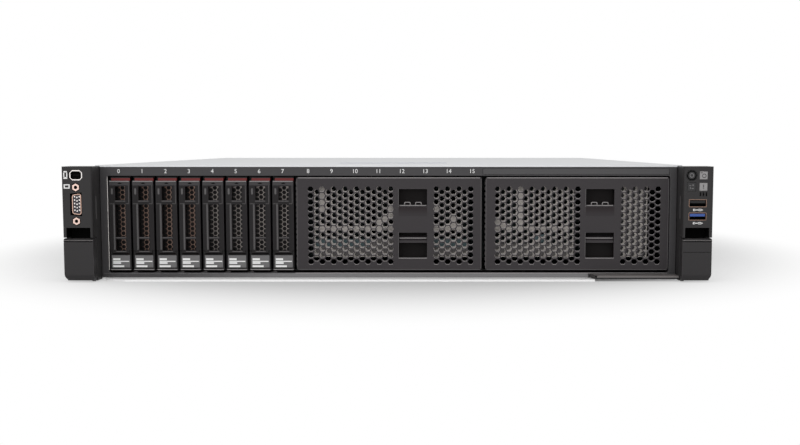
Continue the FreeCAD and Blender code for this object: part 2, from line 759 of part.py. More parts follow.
def stator(x):
    """A hexagonal motor base on three struts at the back of one fan opening."""
    y = (STATOR_FRONT, FAN_BACK)
    strut = box(span(x, FAN_STRUT), y, (FAN_Z, FAN_Z + FAN_RADIUS + FAN_MARGIN / 2))
    struts = []
    for turn in range(3):
        arm = strut.copy()
        arm.rotate(FreeCAD.Vector(x, 0, FAN_Z), FreeCAD.Vector(0, 1, 0), 120 * turn)
        struts.append(arm)
    base = fuse(prism_y(hexagon(x, FAN_Z, FAN_HUB_RADIUS), y), *struts)
    return base.cut(rod_y(FAN_AXLE_RADIUS + PIN_FIT, x, y, FAN_Z))


def fan_wall():
    y = (FAN_FRONT, FAN_BACK)
    wall = box((-FAN_HALF, FAN_HALF), y, (SHEET, FAN_TOP))
    for index in range(FANS):
        wall = wall.cut(rod_y(FAN_RADIUS, fan_x(index), y, FAN_Z))
    return fuse(wall, *[stator(fan_x(index)) for index in range(FANS)])


def fan_rotor(index):
    x = fan_x(index)
    front = ROTOR_BACK - FAN_ROTOR_DEPTH
    hub = rod_y(FAN_HUB_RADIUS, x, (front, ROTOR_BACK), FAN_Z)
    axle = rod_y(FAN_AXLE_RADIUS, x, (ROTOR_BACK, ROTOR_BACK + FIT + FAN_AXLE_LENGTH), FAN_Z)
    reach = math.sqrt((FAN_RADIUS - FAN_TIP_GAP) ** 2 - (FAN_BLADE_CHORD / 2) ** 2)
    root = FAN_HUB_RADIUS - FAN_BLADE_ROOT / 2
    middle = (front + ROTOR_BACK) / 2
    blade = prism_y(
        [
            (x - FAN_BLADE_ROOT / 2, FAN_Z + root),
            (x + FAN_BLADE_ROOT / 2, FAN_Z + root),
            (x + FAN_BLADE_CHORD / 2, FAN_Z + reach),
            (x - FAN_BLADE_CHORD / 2, FAN_Z + reach),
        ],
        span(middle, FAN_BLADE_THICKNESS),
    )
    centre = FreeCAD.Vector(x, middle, FAN_Z)
    blade.rotate(centre, FreeCAD.Vector(0, 0, 1), FAN_BLADE_PITCH)
    blades = []
    for turn in range(FAN_BLADES):
        copy = blade.copy()
        copy.rotate(centre, FreeCAD.Vector(0, 1, 0), turn * 360 / FAN_BLADES)
        blades.append(copy)
    return fuse(hub, axle, *blades)


# Board and what stands on it

def system_board():
    half = WALL_IN - BOARD_SIDE_GAP
    z = (SHEET + BOARD_LIFT, BOARD_TOP)
    inner = PARTITION_LEFT - BOARD_SIDE_GAP
    board = prism_z(
        [
            (-half, BOARD_FRONT),
            (half, BOARD_FRONT),
            (half, BAY_FRONT - BOARD_SIDE_GAP),
            (inner, BAY_FRONT - BOARD_SIDE_GAP),
            (inner, BOARD_BACK),
            (-half, BOARD_BACK),
        ],
        z,
    )
    left, right = socket_block_span()
    block_y = (REAR - SOCKET_BLOCK_DEPTH, REAR)
    block = box((left, right), block_y, (BOARD_TOP, BOARD_TOP + SOCKET_BLOCK_HEIGHT))
    pitch = (right - left - SOCKET_WALL) / SOCKETS
    for index in range(SOCKETS):
        socket_left = left + SOCKET_WALL + index * pitch
        socket_x = (socket_left, socket_left + pitch - SOCKET_WALL)
        socket_z = (BOARD_TOP + SOCKET_WALL, BOARD_TOP + SOCKET_BLOCK_HEIGHT - SOCKET_WALL)
        block = block.cut(box(socket_x, (REAR - SOCKET_DEPTH, REAR), socket_z))
    posts = []
    for x in (-half + BOARD_SIDE_GAP, 0, inner - BOARD_SIDE_GAP):
        for y in (BOARD_FRONT + BOARD_SIDE_GAP, BAY_FRONT - 2 * BOARD_SIDE_GAP):
            posts.append(prism_z(hexagon(x, y, STANDOFF_RADIUS), (SHEET, SHEET + BOARD_LIFT)))
    return fuse(board, block, *posts)


def heat_sink(side):
    x = span(side * SINK_OFFSET, SINK_WIDTH)
    y = (BOARD_FRONT + SINK_SETBACK, BOARD_FRONT + SINK_SETBACK + SINK_LENGTH)
    base = box(x, y, (BOARD_TOP, BOARD_TOP + SINK_BASE))
    pitch = (SINK_WIDTH - SINK_FIN) / (SINK_FINS - 1)
    top = BOARD_TOP + SINK_HEIGHT
    fins = []
    for index in range(SINK_FINS):
        left = x[0] + index * pitch
        fins.append(box((left, left + SINK_FIN), y, (BOARD_TOP + SINK_BASE, top)))
    return fuse(base, *fins)


def memory_modules():
    y = (BOARD_FRONT + SINK_SETBACK, BOARD_FRONT + SINK_SETBACK + MEMORY_LENGTH)
    modules = []
    for side in (-1, 1):
        for away in (-1, 1):
            for index in range(MEMORY_PER_SIDE):
                reach = SINK_WIDTH / 2 + MEMORY_GAP + index * MEMORY_PITCH
                x = span(side * SINK_OFFSET + away * reach, MEMORY_THICKNESS)
                modules.append(box(x, y, (BOARD_TOP, BOARD_TOP + MEMORY_HEIGHT)))
    return modules


def card_mouth(x, y):
    """The open end of a card's shroud, as a block to cut away."""
    inner_x = (x[0] + CARD_WALL, x[1] - CARD_WALL)
    return box(inner_x, y, (CARD_BOTTOM + CARD_WALL, CARD_TOP - CARD_WALL))


def accelerator_card(x):
    """A passive card: a shroud round a dense block of fins, set back at both ends."""
    y = (WALL_FRONT - CARD_LENGTH, WALL_FRONT)
    card = box(x, y, (CARD_BOTTOM, CARD_TOP))
    for end in ((y[0], y[0] + CARD_MOUTH), (y[1] - CARD_MOUTH, y[1])):
        card = card.cut(card_mouth(x, end))
    return card


def riser_board(x):
    back = WALL_FRONT - CARD_HEIGHT
    return box((x[1], x[1] + RISER_THICKNESS), (back - RISER_LENGTH, back), (BOARD_TOP, CARD_TOP))


# Power supplies

def handle_left():
    return SUPPLY_LEFT + INLET_INSET


def power_supply(z):
    x = (SUPPLY_LEFT, SUPPLY_RIGHT)
    body = box(x, (BAY_FRONT, REAR), z)
    inlet_x = (SUPPLY_RIGHT - INLET_INSET - INLET_WIDTH, SUPPLY_RIGHT - INLET_INSET)
    middle = sum(z) / 2
    body = body.cut(box(inlet_x, (REAR - INLET_DEPTH, REAR), span(middle, INLET_HEIGHT)))
    left = handle_left()
    right = left + HANDLE_WIDTH
    for row in range(VENT_ROWS):
        rise = HANDLE_HEIGHT / 2 + (row + 0.5) * VENT_PITCH
        for height in (middle - rise, middle + rise):
            body = body.cut(box((left, right), (REAR - VENT_DEPTH, REAR), span(height, VENT_HEIGHT)))
    end = REAR + HANDLE_REACH
    loop = prism_z(
        [
            (left, REAR),
            (left, end),
            (right, end),
            (right, REAR),
            (right - HANDLE_BAR, REAR),
            (right - HANDLE_BAR, end - HANDLE_BAR),
            (left + HANDLE_BAR, end - HANDLE_BAR),
            (left + HANDLE_BAR, REAR),
        ],
        span(middle, HANDLE_HEIGHT),
    )
    return fuse(body, loop)


def supply_release(z):
    """A tab beside the handle that is squeezed towards it."""
    left = handle_left() + HANDLE_WIDTH + RELEASE_TRAVEL + RELEASE_ROOM
    height = span(sum(z) / 2, HANDLE_HEIGHT)
    return box((left, left + RELEASE_THICKNESS), (REAR, REAR + RELEASE_REACH), height)


# Top cover

def latch_pan():
    """The sunk pan that holds the cover latch and its pin."""
    x = span(0, PAN_WIDTH)
    pan = box(x, (PAN_FRONT, PAN_BACK), (HEIGHT - PAN_DEPTH, HEIGHT))
    hollow_x = (x[0] + PAN_WALL, x[1] - PAN_WALL)
    hollow_y = (PAN_FRONT + PAN_WALL, PAN_BACK - PAN_WALL)
    hollow = box(hollow_x, hollow_y, (HEIGHT - PAN_DEPTH + PAN_WALL, HEIGHT))
    return pan.cut(hollow).cut(rod_x(COVER_LATCH_PIN + PIN_FIT, x, COVER_LATCH_Y, COVER_LATCH_Z))


def top_cover():
    """A sheet with the latch pan let into it and a guide rail under each long edge."""
    top = (COVER_BOTTOM, HEIGHT)
    sheet = fuse(
        box((-BEZEL_HALF, BEZEL_HALF), (FRONT + FIT, EAR_BACK), top),
        box((-HALF, HALF), (EAR_BACK, REAR), top),
    )
    sheet = sheet.cut(box(span(0, PAN_WIDTH), (PAN_FRONT, PAN_BACK), top))
    outer = WALL_IN - FIT
    rail_y = (BEZEL_BACK + FIT, REAR)
    rail_z = (COVER_BOTTOM - COVER_RAIL, COVER_BOTTOM)
    rails = [box(mirrored((outer - COVER_SHEET, outer), side), rail_y, rail_z) for side in (-1, 1)]
    return [sheet, latch_pan(), *rails]


def cover_latch():
    half = COVER_LATCH_HALF
    radius = COVER_LATCH_THICKNESS / 2
    z = (COVER_LATCH_TOP - COVER_LATCH_THICKNESS, COVER_LATCH_TOP)
    y = (PAN_FRONT + PAN_WALL + FIT, COVER_LATCH_Y)
    paddle = box((-half, half), y, z)
    barrel = rod_x(radius, (-half, half), COVER_LATCH_Y, COVER_LATCH_Z)
    pin_half = half + FIT + PAN_WALL
    pin = rod_x(COVER_LATCH_PIN, (-pin_half, pin_half), COVER_LATCH_Y, COVER_LATCH_Z)
    return fuse(paddle, barrel, pin)


# Ears

def ear_x(offset, side):
    """An X place on an ear, measured from its outer edge on the left and from its inner on the right."""
    return EAR_IN + offset if side > 0 else -EAR_OUT + offset


def ear_block(side):
    """The housing's outside, cut away below for the lever and relieved where a rack post meets it."""
    lever_back = EAR_FRONT + EAR_LEVER_DEPTH + FIT
    lever_room = EAR_LEVER_TOP + EAR_LEVER_ROOM
    profile = [
        (EAR_FRONT, lever_room),
        (EAR_FRONT, EAR_TOP),
        (EAR_BACK, EAR_TOP),
        (EAR_BACK, EAR_INSET),
        (lever_back, EAR_INSET),
        (lever_back, lever_room),
    ]
    body = prism_x(profile, mirrored((EAR_IN, EAR_OUT), side))
    upright = [edge for edge in body.Edges if is_front_upright(edge)]
    body = body.makeFillet(EAR_ROUND, upright)
    post_x = mirrored((HALF + FIT, EAR_OUT), side)
    return body.cut(box(post_x, (EAR_BACK - RACK_RELIEF, EAR_BACK), (EAR_INSET, EAR_TOP)))


def is_front_upright(edge):
    bounds = edge.BoundBox
    return bounds.YMax < EAR_FRONT + FIT and bounds.ZLength > EAR_TOP - RECESS_TOP - FIT


def recess_span(side):
    return mirrored((EAR_IN + RECESS_INNER_WALL, EAR_OUT - RECESS_OUTER_WALL), side)


def ear_housing(side):
    """One ear with its finger recess and the pin that carries its lever."""
    recess_y = (EAR_FRONT, EAR_FRONT + RECESS_DEPTH)
    body = ear_block(side).cut(box(recess_span(side), recess_y, (RECESS_BOTTOM, RECESS_TOP)))
    middle = side * (EAR_IN + EAR_OUT) / 2
    lug_y = (EAR_AXIS_Y, EAR_FRONT + EAR_LEVER_DEPTH + FIT)
    lug = box(span(middle, EAR_LUG_WIDTH), lug_y, span(EAR_AXIS_Z, 2 * EAR_PIN_RADIUS))
    pin_x = mirrored((EAR_IN + 2 * FIT, EAR_OUT - 2 * FIT), side)
    pin = rod_x(EAR_PIN_RADIUS, pin_x, EAR_AXIS_Y, EAR_AXIS_Z)
    return fuse(body, lug, pin)


def ear_outline(side):
    """The lever's front outline, with its lower outer corner rounded."""
    bottom = EAR_LEVER_BOTTOM
    inner = side * (EAR_IN + FIT)
    outer = side * (EAR_OUT - FIT)
    corner = outer - side * EAR_LEVER_CORNER
    bend = EAR_LEVER_CORNER * (1 - math.sqrt(0.5))

    def at(x, z):
        return FreeCAD.Vector(x, EAR_FRONT, z)

    arc = Part.Arc(
        at(corner, bottom),
        at(outer - side * bend, bottom + bend),
        at(outer, bottom + EAR_LEVER_CORNER),
    )
    edges = [
        Part.makeLine(at(inner, bottom), at(corner, bottom)),
        arc.toShape(),
        Part.makeLine(at(outer, bottom + EAR_LEVER_CORNER), at(outer, EAR_LEVER_TOP)),
        Part.makeLine(at(outer, EAR_LEVER_TOP), at(inner, EAR_LEVER_TOP)),
        Part.makeLine(at(inner, EAR_LEVER_TOP), at(inner, bottom)),
    ]
    return Part.Face(Part.Wire(edges)).extrude(FreeCAD.Vector(0, EAR_LEVER_DEPTH, 0))


def lever_lip(x):
    """What the pull lip at a lever's top takes away: a bevel above it and a groove below it."""
    bevel = prism_x(
        [
            (EAR_FRONT, EAR_LEVER_TOP - EAR_LIP_CHAMFER),
            (EAR_FRONT, EAR_LEVER_TOP),
            (EAR_FRONT + EAR_LIP_CHAMFER, EAR_LEVER_TOP),
        ],
        x,
    )
    groove_top = EAR_LEVER_TOP - EAR_LIP_HEIGHT
    groove = box(x, (EAR_FRONT, EAR_FRONT + EAR_GROOVE), (groove_top - EAR_GROOVE, groove_top))
    return Part.makeCompound([bevel, groove])


def ear_lever(side):
    """A hollow lever with a round foot on its pin and a pull lip at its top."""
    x = mirrored((EAR_IN + FIT, EAR_OUT - FIT), side)
    y = (EAR_FRONT, EAR_FRONT + EAR_LEVER_DEPTH)
    body = fuse(
        box(x, y, (EAR_AXIS_Z, EAR_LEVER_TOP)),
        rod_x(EAR_LEVER_RADIUS, x, EAR_AXIS_Y, EAR_AXIS_Z),
    )
    body = body.common(ear_outline(side)).cut(lever_lip(x))
    inner_x = (x[0] + EAR_LEVER_WALL, x[1] - EAR_LEVER_WALL)
    inner_y = (EAR_FRONT + EAR_LEVER_WALL, y[1])
    hollow = box(inner_x, inner_y, (EAR_LEVER_BOTTOM, EAR_LEVER_TOP - EAR_LEVER_WALL))
    return body.cut(hollow).cut(rod_x(EAR_PIN_RADIUS + PIN_FIT, x, EAR_AXIS_Y, EAR_AXIS_Z))


def port_span(depth):
    return (EAR_FRONT + PORT_INSET, EAR_FRONT + PORT_INSET + depth)


def video_outline(x, z, grow):
    """A shell outline that narrows towards its outer side."""
    half_width = VIDEO_WIDTH / 2 + grow
    tall = VIDEO_HEIGHT / 2 + grow
    short = tall - VIDEO_TAPER
    return [
        (x - half_width, z - short),
        (x + half_width, z - tall),
        (x + half_width, z + tall),
        (x - half_width, z + short),
    ]


def octagon(x, z, grow):
    half_width = DIAGNOSTIC_WIDTH / 2 + grow
    half_height = DIAGNOSTIC_HEIGHT / 2 + grow
    cut = DIAGNOSTIC_CHAMFER
    return [
        (x - half_width + cut, z - half_height),
        (x + half_width - cut, z - half_height),
        (x + half_width, z - half_height + cut),
        (x + half_width, z + half_height - cut),
        (x + half_width - cut, z + half_height),
        (x - half_width + cut, z + half_height),
        (x - half_width, z + half_height - cut),
        (x - half_width, z - half_height + cut),
    ]


def left_ear():
    x = ear_x(LEFT_PORT_X, -1)
    pocket = (EAR_FRONT, EAR_FRONT + PORT_INSET + PORT_DEPTH)
    video_z = EAR_TOP - VIDEO_DROP
    body = ear_housing(-1).cut(prism_y(video_outline(x, video_z, FIT), pocket))
    for z in span(video_z, JACK_SPACING):
        body = body.cut(rod_y(JACK_RADIUS + FIT, x, pocket, z))
    return body.cut(prism_y(octagon(x, EAR_TOP - DIAGNOSTIC_DROP, FIT), pocket))


def video_port():
    x = ear_x(LEFT_PORT_X, -1)
    z = EAR_TOP - VIDEO_DROP
    shell = prism_y(video_outline(x, z, 0), port_span(PORT_DEPTH))
    shell = shell.cut(prism_y(video_outline(x, z, -VIDEO_WALL), port_span(VIDEO_RECESS)))
    screws = []
    for height in span(z, JACK_SPACING):
        post = prism_y(hexagon(x, height, JACK_RADIUS), port_span(PORT_DEPTH))
        screws.append(post.cut(rod_y(JACK_BORE, x, port_span(VIDEO_RECESS), height)))
    return [shell, *screws]


def diagnostic_port():
    x = ear_x(LEFT_PORT_X, -1)
    z = EAR_TOP - DIAGNOSTIC_DROP
    rim = prism_y(octagon(x, z, 0), port_span(PORT_DEPTH))
    hole = box(
        span(x, DIAGNOSTIC_WIDTH - 2 * DIAGNOSTIC_WALL),
        port_span(VIDEO_RECESS),
        span(z, DIAGNOSTIC_HEIGHT - 2 * DIAGNOSTIC_CHAMFER),
    )
    return rim.cut(hole)


def square_piece(offset, row, y, grow):
    """A square block of the button rows: row 0 holds the power button, row 1 the other."""
    x = ear_x(offset, 1)
    z = EAR_TOP - POWER_DROP - row * BUTTON_ROW_STEP
    size = SQUARE_BUTTON + 2 * grow
    return box(span(x, size), y, span(z, size))


def usb_heights():
    return [EAR_TOP - USB_DROP - index * USB_STEP for index in range(2)]


def right_ear():
    body = ear_housing(1)
    button_y = (EAR_FRONT, EAR_FRONT + BUTTON_DEPTH + BUTTON_TRAVEL + PORT_INSET)
    power_z = EAR_TOP - POWER_DROP
    body = body.cut(rod_y(POWER_RADIUS + FIT, ear_x(BUTTON_X, 1), button_y, power_z))
    body = body.cut(square_piece(BUTTON_X, 1, button_y, FIT))
    for row in range(2):
        body = body.cut(square_piece(LIGHT_X, row, (EAR_FRONT, EAR_FRONT + PORT_INSET + BUTTON_DEPTH), 0))
    for index in (-1, 0, 1):
        slot_x = span(ear_x(LIGHT_X, 1) + index * SLOT_PITCH, SLOT_WIDTH)
        slot_z = span(EAR_TOP - SLOT_DROP, SLOT_HEIGHT)
        body = body.cut(box(slot_x, (EAR_FRONT, EAR_FRONT + SLOT_DEPTH), slot_z))
    pocket = (EAR_FRONT, EAR_FRONT + PORT_INSET + PORT_DEPTH)
    for z in usb_heights():
        body = body.cut(box(span(ear_x(USB_X, 1), USB_WIDTH), pocket, span(z, USB_HEIGHT)))
    return body


def usb_port(z):
    x = ear_x(USB_X, 1)
    shell = box(span(x, USB_WIDTH), port_span(PORT_DEPTH), span(z, USB_HEIGHT))
    inner_width = USB_WIDTH - 2 * USB_WALL
    inner_height = USB_HEIGHT - 2 * USB_WALL
    shell = shell.cut(box(span(x, inner_width), port_span(PORT_DEPTH - USB_WALL), span(z, inner_height)))
    tongue_top = z + inner_height / 2 - USB_WALL
    tongue_y = (EAR_FRONT + PORT_INSET + USB_WALL, EAR_FRONT + PORT_INSET + PORT_DEPTH)
    tongue = box(span(x, inner_width - 2 * USB_WALL), tongue_y, (tongue_top - USB_TONGUE, tongue_top))
    return fuse(shell, tongue)


def light_blocks():
    return [square_piece(LIGHT_X, row, port_span(BUTTON_DEPTH), 0) for row in range(2)]


def power_button():
    return rod_y(POWER_RADIUS, ear_x(BUTTON_X, 1), port_span(BUTTON_DEPTH - FIT), EAR_TOP - POWER_DROP)


def id_button():
    return square_piece(BUTTON_X, 1, port_span(BUTTON_DEPTH - FIT), 0)


# The whole server

def save_front():
    save("front_bezel", *front_bezel())
    save("info_tab", info_tab())
    for bay in range(BAYS_PER_BLOCK):
        save(f"drive_tray_{bay}", carrier(bay), drive(bay))
        save(f"tray_lever_{bay}", tray_lever(bay))
        save(f"tray_latch_{bay}", tray_latch(bay))
    for block, name in ((1, "middle"), (2, "right")):
        save(f"filler_{name}", filler(block))
        save(f"filler_{name}_upper_tab", pinch_tab(block, True))
        save(f"filler_{name}_lower_tab", pinch_tab(block, False))


def save_ears():
    save("left_ear", left_ear())
    save("right_ear", right_ear())
    save("left_ear_lever", ear_lever(-1))
    save("right_ear_lever", ear_lever(1))
    save("left_ports", *video_port(), diagnostic_port())
    save("right_ports", *[usb_port(z) for z in usb_heights()], *light_blocks())
    save("power_button", power_button())
    save("id_button", id_button())


def save_inside():
    save("drive_cage", drive_cage())
    save("backplane", backplane())
    save("fan_wall", fan_wall())
    for index in range(FANS):
        save(f"fan_rotor_{index}", fan_rotor(index))
    save("system_board", system_board())
    save("heat_sinks", heat_sink(-1), heat_sink(1))
    save("memory_modules", *memory_modules())
    save("accelerator_cards", *[accelerator_card(x) for x in card_spans()])
    save("riser_boards", *[riser_board(x) for x in card_spans()])


def save_case():
    save("chassis_tray", chassis_tray())
    save("rear_wall", rear_wall())
    save("top_cover", *top_cover())
    save("cover_latch", cover_latch())
    for name, z in zip(("lower", "upper"), supply_spans()):
        save(f"power_supply_{name}", power_supply(z))
        save(f"supply_release_{name}", supply_release(z))


os.makedirs("parts", exist_ok=True)
save_case()
save_front()
save_ears()
save_inside()
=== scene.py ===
"""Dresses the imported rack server: finishes, fine front and rear detail, studio and camera."""

import logging
import math
from dataclasses import dataclass, replace
from enum import Enum
from functools import cache

import bmesh
import bpy
from mathutils import Matrix, Vector
from mathutils.geometry import delaunay_2d_cdt


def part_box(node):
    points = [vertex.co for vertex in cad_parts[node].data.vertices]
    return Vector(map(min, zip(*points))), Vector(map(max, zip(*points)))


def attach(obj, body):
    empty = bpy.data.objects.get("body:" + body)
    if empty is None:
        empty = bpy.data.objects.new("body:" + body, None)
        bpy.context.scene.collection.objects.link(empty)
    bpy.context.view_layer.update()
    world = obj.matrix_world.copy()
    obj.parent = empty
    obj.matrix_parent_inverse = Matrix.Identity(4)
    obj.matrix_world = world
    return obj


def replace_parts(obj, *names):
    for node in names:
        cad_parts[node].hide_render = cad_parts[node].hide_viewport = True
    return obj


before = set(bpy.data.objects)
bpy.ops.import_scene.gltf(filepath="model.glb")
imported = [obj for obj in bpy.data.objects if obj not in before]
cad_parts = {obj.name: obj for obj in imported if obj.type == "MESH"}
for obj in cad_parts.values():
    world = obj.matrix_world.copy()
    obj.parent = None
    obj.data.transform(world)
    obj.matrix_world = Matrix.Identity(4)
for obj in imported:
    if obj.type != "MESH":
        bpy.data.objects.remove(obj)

LOG = logging.getLogger("rack_server")
MM = 0.001
IMAGE_WIDTH = 800
IMAGE_HEIGHT = 445
CHASSIS = "chassis"
MERGE_DISTANCE = 1e-5  # between corners of a plate, in millimetres
SHARP_ANGLE = 40  # degrees from which an edge is eased
FIGURE_SHARE = 0.7  # height of a figure, of its font size
PRINT_DEPTH = 0.02  # millimetres

Colour = tuple[float, float, float]
Span = tuple[float, float]
Point2 = tuple[float, float]
Bars = tuple[tuple[float, float, float, float], ...]


class Grain(Enum):
    """How the fine structure of a surface runs."""

    MOULDED = "moulded"
    BRUSHED = "brushed"
    SPANGLE = "spangle"
    BOARD = "board"
    PRINT = "print"


class Side(Enum):
    """The two ends of the front, as seen by someone who stands before it."""

    LEFT = -1
    RIGHT = 1


# Materials


class NodeSheet:
    """A small hand for writing the nodes of a material or a world."""

    def __init__(self, owner: bpy.types.Material | bpy.types.World) -> None:
        """Clears the owner's nodes.

        Args:
            owner: The material or world to write.
        """
        owner.use_nodes = True
        self.tree = owner.node_tree
        self.tree.nodes.clear()

    def add(self, kind: str, inputs: dict[str, object] | None = None, **settings: object) -> bpy.types.Node:
        """Adds a node, with links or plain values on its inputs.

        Args:
            kind: The node's type name.
            inputs: Input names with a value, or a socket to link from.
            settings: Attributes of the node itself.

        Returns:
            The new node.
        """
        node = self.tree.nodes.new(kind)
        for name, value in settings.items():
            setattr(node, name, value)
        for name, value in (inputs or {}).items():
            if isinstance(value, bpy.types.NodeSocket):
                self.tree.links.new(value, node.inputs[name])
            else:
                node.inputs[name].default_value = value
        return node

    def ramp(self, factor: bpy.types.NodeSocket, low: float, high: float) -> bpy.types.NodeSocket:
        """Maps a 0 to 1 factor to the range from low to high and returns the result's socket."""
        node = self.add("ShaderNodeMapRange", {"Value": factor, "To Min": low, "To Max": high})
        return node.outputs["Result"]


@dataclass(frozen=True)
class Finish:
    """One surface finish, written as procedural nodes."""

    name: str
    colour: Colour  # linear
    roughness: float = 0.5
    metallic: float = 0.0  # 1 for bare metal
    grain: Grain = Grain.MOULDED  # how the fine structure runs
    grain_size: float = 0.0005  # of that structure, in metres
    bump: float = 0.00002  # height of that structure, in metres
    tint: float = 0.12  # share by which the colour varies
    edge: float = 0.25  # share by which edges are lighter: partly wear, partly a painted highlight
    coat: float = 0.0  # weight of a clear coat
    glow: float = 0.0  # strength of emitted light
    shine: float = 0.5  # specular level, lower for a matt skin
    fade: Span | None = None  # where the colour starts to fade, and where it has faded
    faded: Colour = (0.0, 0.0, 0.0)  # the colour it fades to
    fade_axis: str = "Z"  # axis along which it fades

    def material(self) -> bpy.types.Material:
        """Returns the material, made once."""
        made = bpy.data.materials.get(self.name)
        if made:
            return made
        material = bpy.data.materials.new(self.name)
        sheet = NodeSheet(material)
        place = sheet.add("ShaderNodeTexCoord").outputs["Object"]
        grain = self._grain(sheet, place)
        colour = self._colour(sheet, place, grain)
        cloud = sheet.add("ShaderNodeTexNoise", {"Vector": place, "Scale": 22.0, "Detail": 4.0})
        swing = 0.12 * self.roughness + 0.03
        low, high = max(0.04, self.roughness - swing), self.roughness + swing
        rough = sheet.ramp(cloud.outputs["Fac"], low, high)
        bump = sheet.add("ShaderNodeBump", {"Height": grain, "Strength": 0.6, "Distance": self.bump})
        values = {
            "Base Color": colour,
            "Roughness": rough,
            "Metallic": self.metallic,
            "Normal": bump.outputs["Normal"],
            "Coat Weight": self.coat,
            "Coat Roughness": 0.12,
            "Specular IOR Level": self.shine,
        }
        if self.glow:
            values["Emission Color"] = (*self.colour, 1.0)
            values["Emission Strength"] = self.glow
        shader = sheet.add("ShaderNodeBsdfPrincipled", values)
        sheet.add("ShaderNodeOutputMaterial", {"Surface": shader.outputs["BSDF"]})
        material.diffuse_color = (*self.colour, 1.0)
        return material

    def _grain(self, sheet: NodeSheet, place: bpy.types.NodeSocket) -> bpy.types.NodeSocket:
        """Writes the fine structure.

        Args:
            sheet: The material's nodes.
            place: Object coordinates.

        Returns:
            A socket from 0 to 1.
        """
        scale = 1.0 / self.grain_size
        if self.grain is Grain.BRUSHED:
            stretch = sheet.add("ShaderNodeMapping", {"Vector": place, "Scale": (0.02, 1.0, 1.0)})
            noise = sheet.add(
                "ShaderNodeTexNoise", {"Vector": stretch.outputs["Vector"], "Scale": scale, "Detail": 3.0}
            )
            return noise.outputs["Fac"]
        if self.grain is Grain.SPANGLE:
            cells = sheet.add("ShaderNodeTexVoronoi", {"Vector": place, "Scale": scale, "Randomness": 1.0})
            grey = sheet.add("ShaderNodeRGBToBW", {"Color": cells.outputs["Color"]})
            return grey.outputs["Val"]
        if self.grain is Grain.BOARD:
            lines = sheet.add("ShaderNodeTexBrick", {"Vector": place, "Scale": scale, "Mortar Size": 0.03})
            lines.inputs["Color1"].default_value = (0.2, 0.2, 0.2, 1.0)
            lines.inputs["Color2"].default_value = (0.45, 0.45, 0.45, 1.0)
            lines.inputs["Mortar"].default_value = (1.0, 1.0, 1.0, 1.0)
            grey = sheet.add("ShaderNodeRGBToBW", {"Color": lines.outputs["Color"]})
            return grey.outputs["Val"]
        noise = sheet.add("ShaderNodeTexNoise", {"Vector": place, "Scale": scale, "Detail": 2.0})
        return noise.outputs["Fac"]

    def _colour(
        self, sheet: NodeSheet, place: bpy.types.NodeSocket, grain: bpy.types.NodeSocket
    ) -> bpy.types.NodeSocket:
        """Writes the colour: its variation by cloud and grain, and lighter edges, partly wear and partly a
        painted highlight.

        Args:
            sheet: The material's nodes.
            place: Object coordinates.
            grain: The fine structure.

        Returns:
            The colour's socket.
        """
        def shade(share: float) -> tuple[float, float, float, float]:
            """Returns the base colour times a share."""
            return (*[min(1.0, part * share) for part in self.colour], 1.0)

        values = {"Vector": place, "Scale": 9.0, "Detail": 5.0, "Roughness": 0.6}
        cloud = sheet.add("ShaderNodeTexNoise", values)
        factor = sheet.add("ShaderNodeMath", {0: cloud.outputs["Fac"], 1: grain}, operation="ADD")
        half = sheet.ramp(factor.outputs["Value"], -0.25, 0.75)
        body = sheet.add(
            "ShaderNodeMix",
            {"Factor": half, "A": shade(1.0 - self.tint), "B": shade(1.0 + self.tint)},
            data_type="RGBA",
        )
        if self.fade:
            along = sheet.add("ShaderNodeSeparateXYZ", {"Vector": place}).outputs[self.fade_axis]
            share = sheet.add(
                "ShaderNodeMapRange",
                {"Value": along, "From Min": self.fade[0], "From Max": self.fade[1]},
                interpolation_type="SMOOTHSTEP",
            )
            blend = {"Factor": share.outputs["Result"], "A": body.outputs["Result"], "B": (*self.faded, 1.0)}
            body = sheet.add("ShaderNodeMix", blend, data_type="RGBA")
        if not self.edge:
            return body.outputs["Result"]
        # lighter edges: partly wear, partly a painted highlight
        bevel = sheet.add("ShaderNodeBevel", {"Radius": 0.0005}, samples=4)
        flat = sheet.add("ShaderNodeNewGeometry")
        turn = sheet.add(
            "ShaderNodeVectorMath",
            {0: bevel.outputs["Normal"], 1: flat.outputs["Normal"]},
            operation="DOT_PRODUCT",
        )
        wear_and_highlight = sheet.add(
            "ShaderNodeMapRange", {"Value": turn.outputs["Value"], "From Min": 0.98, "From Max": 0.75}
        )
        light = shade(1.0 + 4 * self.edge)
        blend = {"Factor": wear_and_highlight.outputs["Result"], "A": body.outputs["Result"], "B": light}
        return sheet.add("ShaderNodeMix", blend, data_type="RGBA").outputs["Result"]


def moulded(
    name: str, colour: Colour, roughness: float = 0.45, shine: float = 0.25, edge: float = 0.3,
    coat: float = 0.0,
) -> Finish:
    """Returns the finish of a moulded plastic.

    Args:
        name: Name of the material.
        colour: Base colour, linear.
        roughness: Middle roughness.
        shine: Specular level.
        edge: Share by which edges are lighter, partly wear and partly a painted highlight.
        coat: Weight of a clear coat.

    Returns:
        The finish.
    """
    return Finish(name, colour, roughness, bump=0.000015, tint=0.1, edge=edge, coat=coat, shine=shine)


def metal(
    name: str, colour: Colour, roughness: float = 0.32, metallic: float = 1.0, grain: Grain = Grain.BRUSHED,
    grain_size: float = 0.0005,
) -> Finish:
    """Returns the finish of a bare or plated metal.

    Args:
        name: Name of the material.
        colour: Base colour, linear.
        roughness: Middle roughness.
        metallic: Below 1 for a dull skin.
        grain: How the fine structure runs.
        grain_size: Size of that structure, in metres.

    Returns:
        The finish.
    """
    return Finish(name, colour, roughness, metallic, grain, grain_size, 0.00001, 0.08, 0.1)


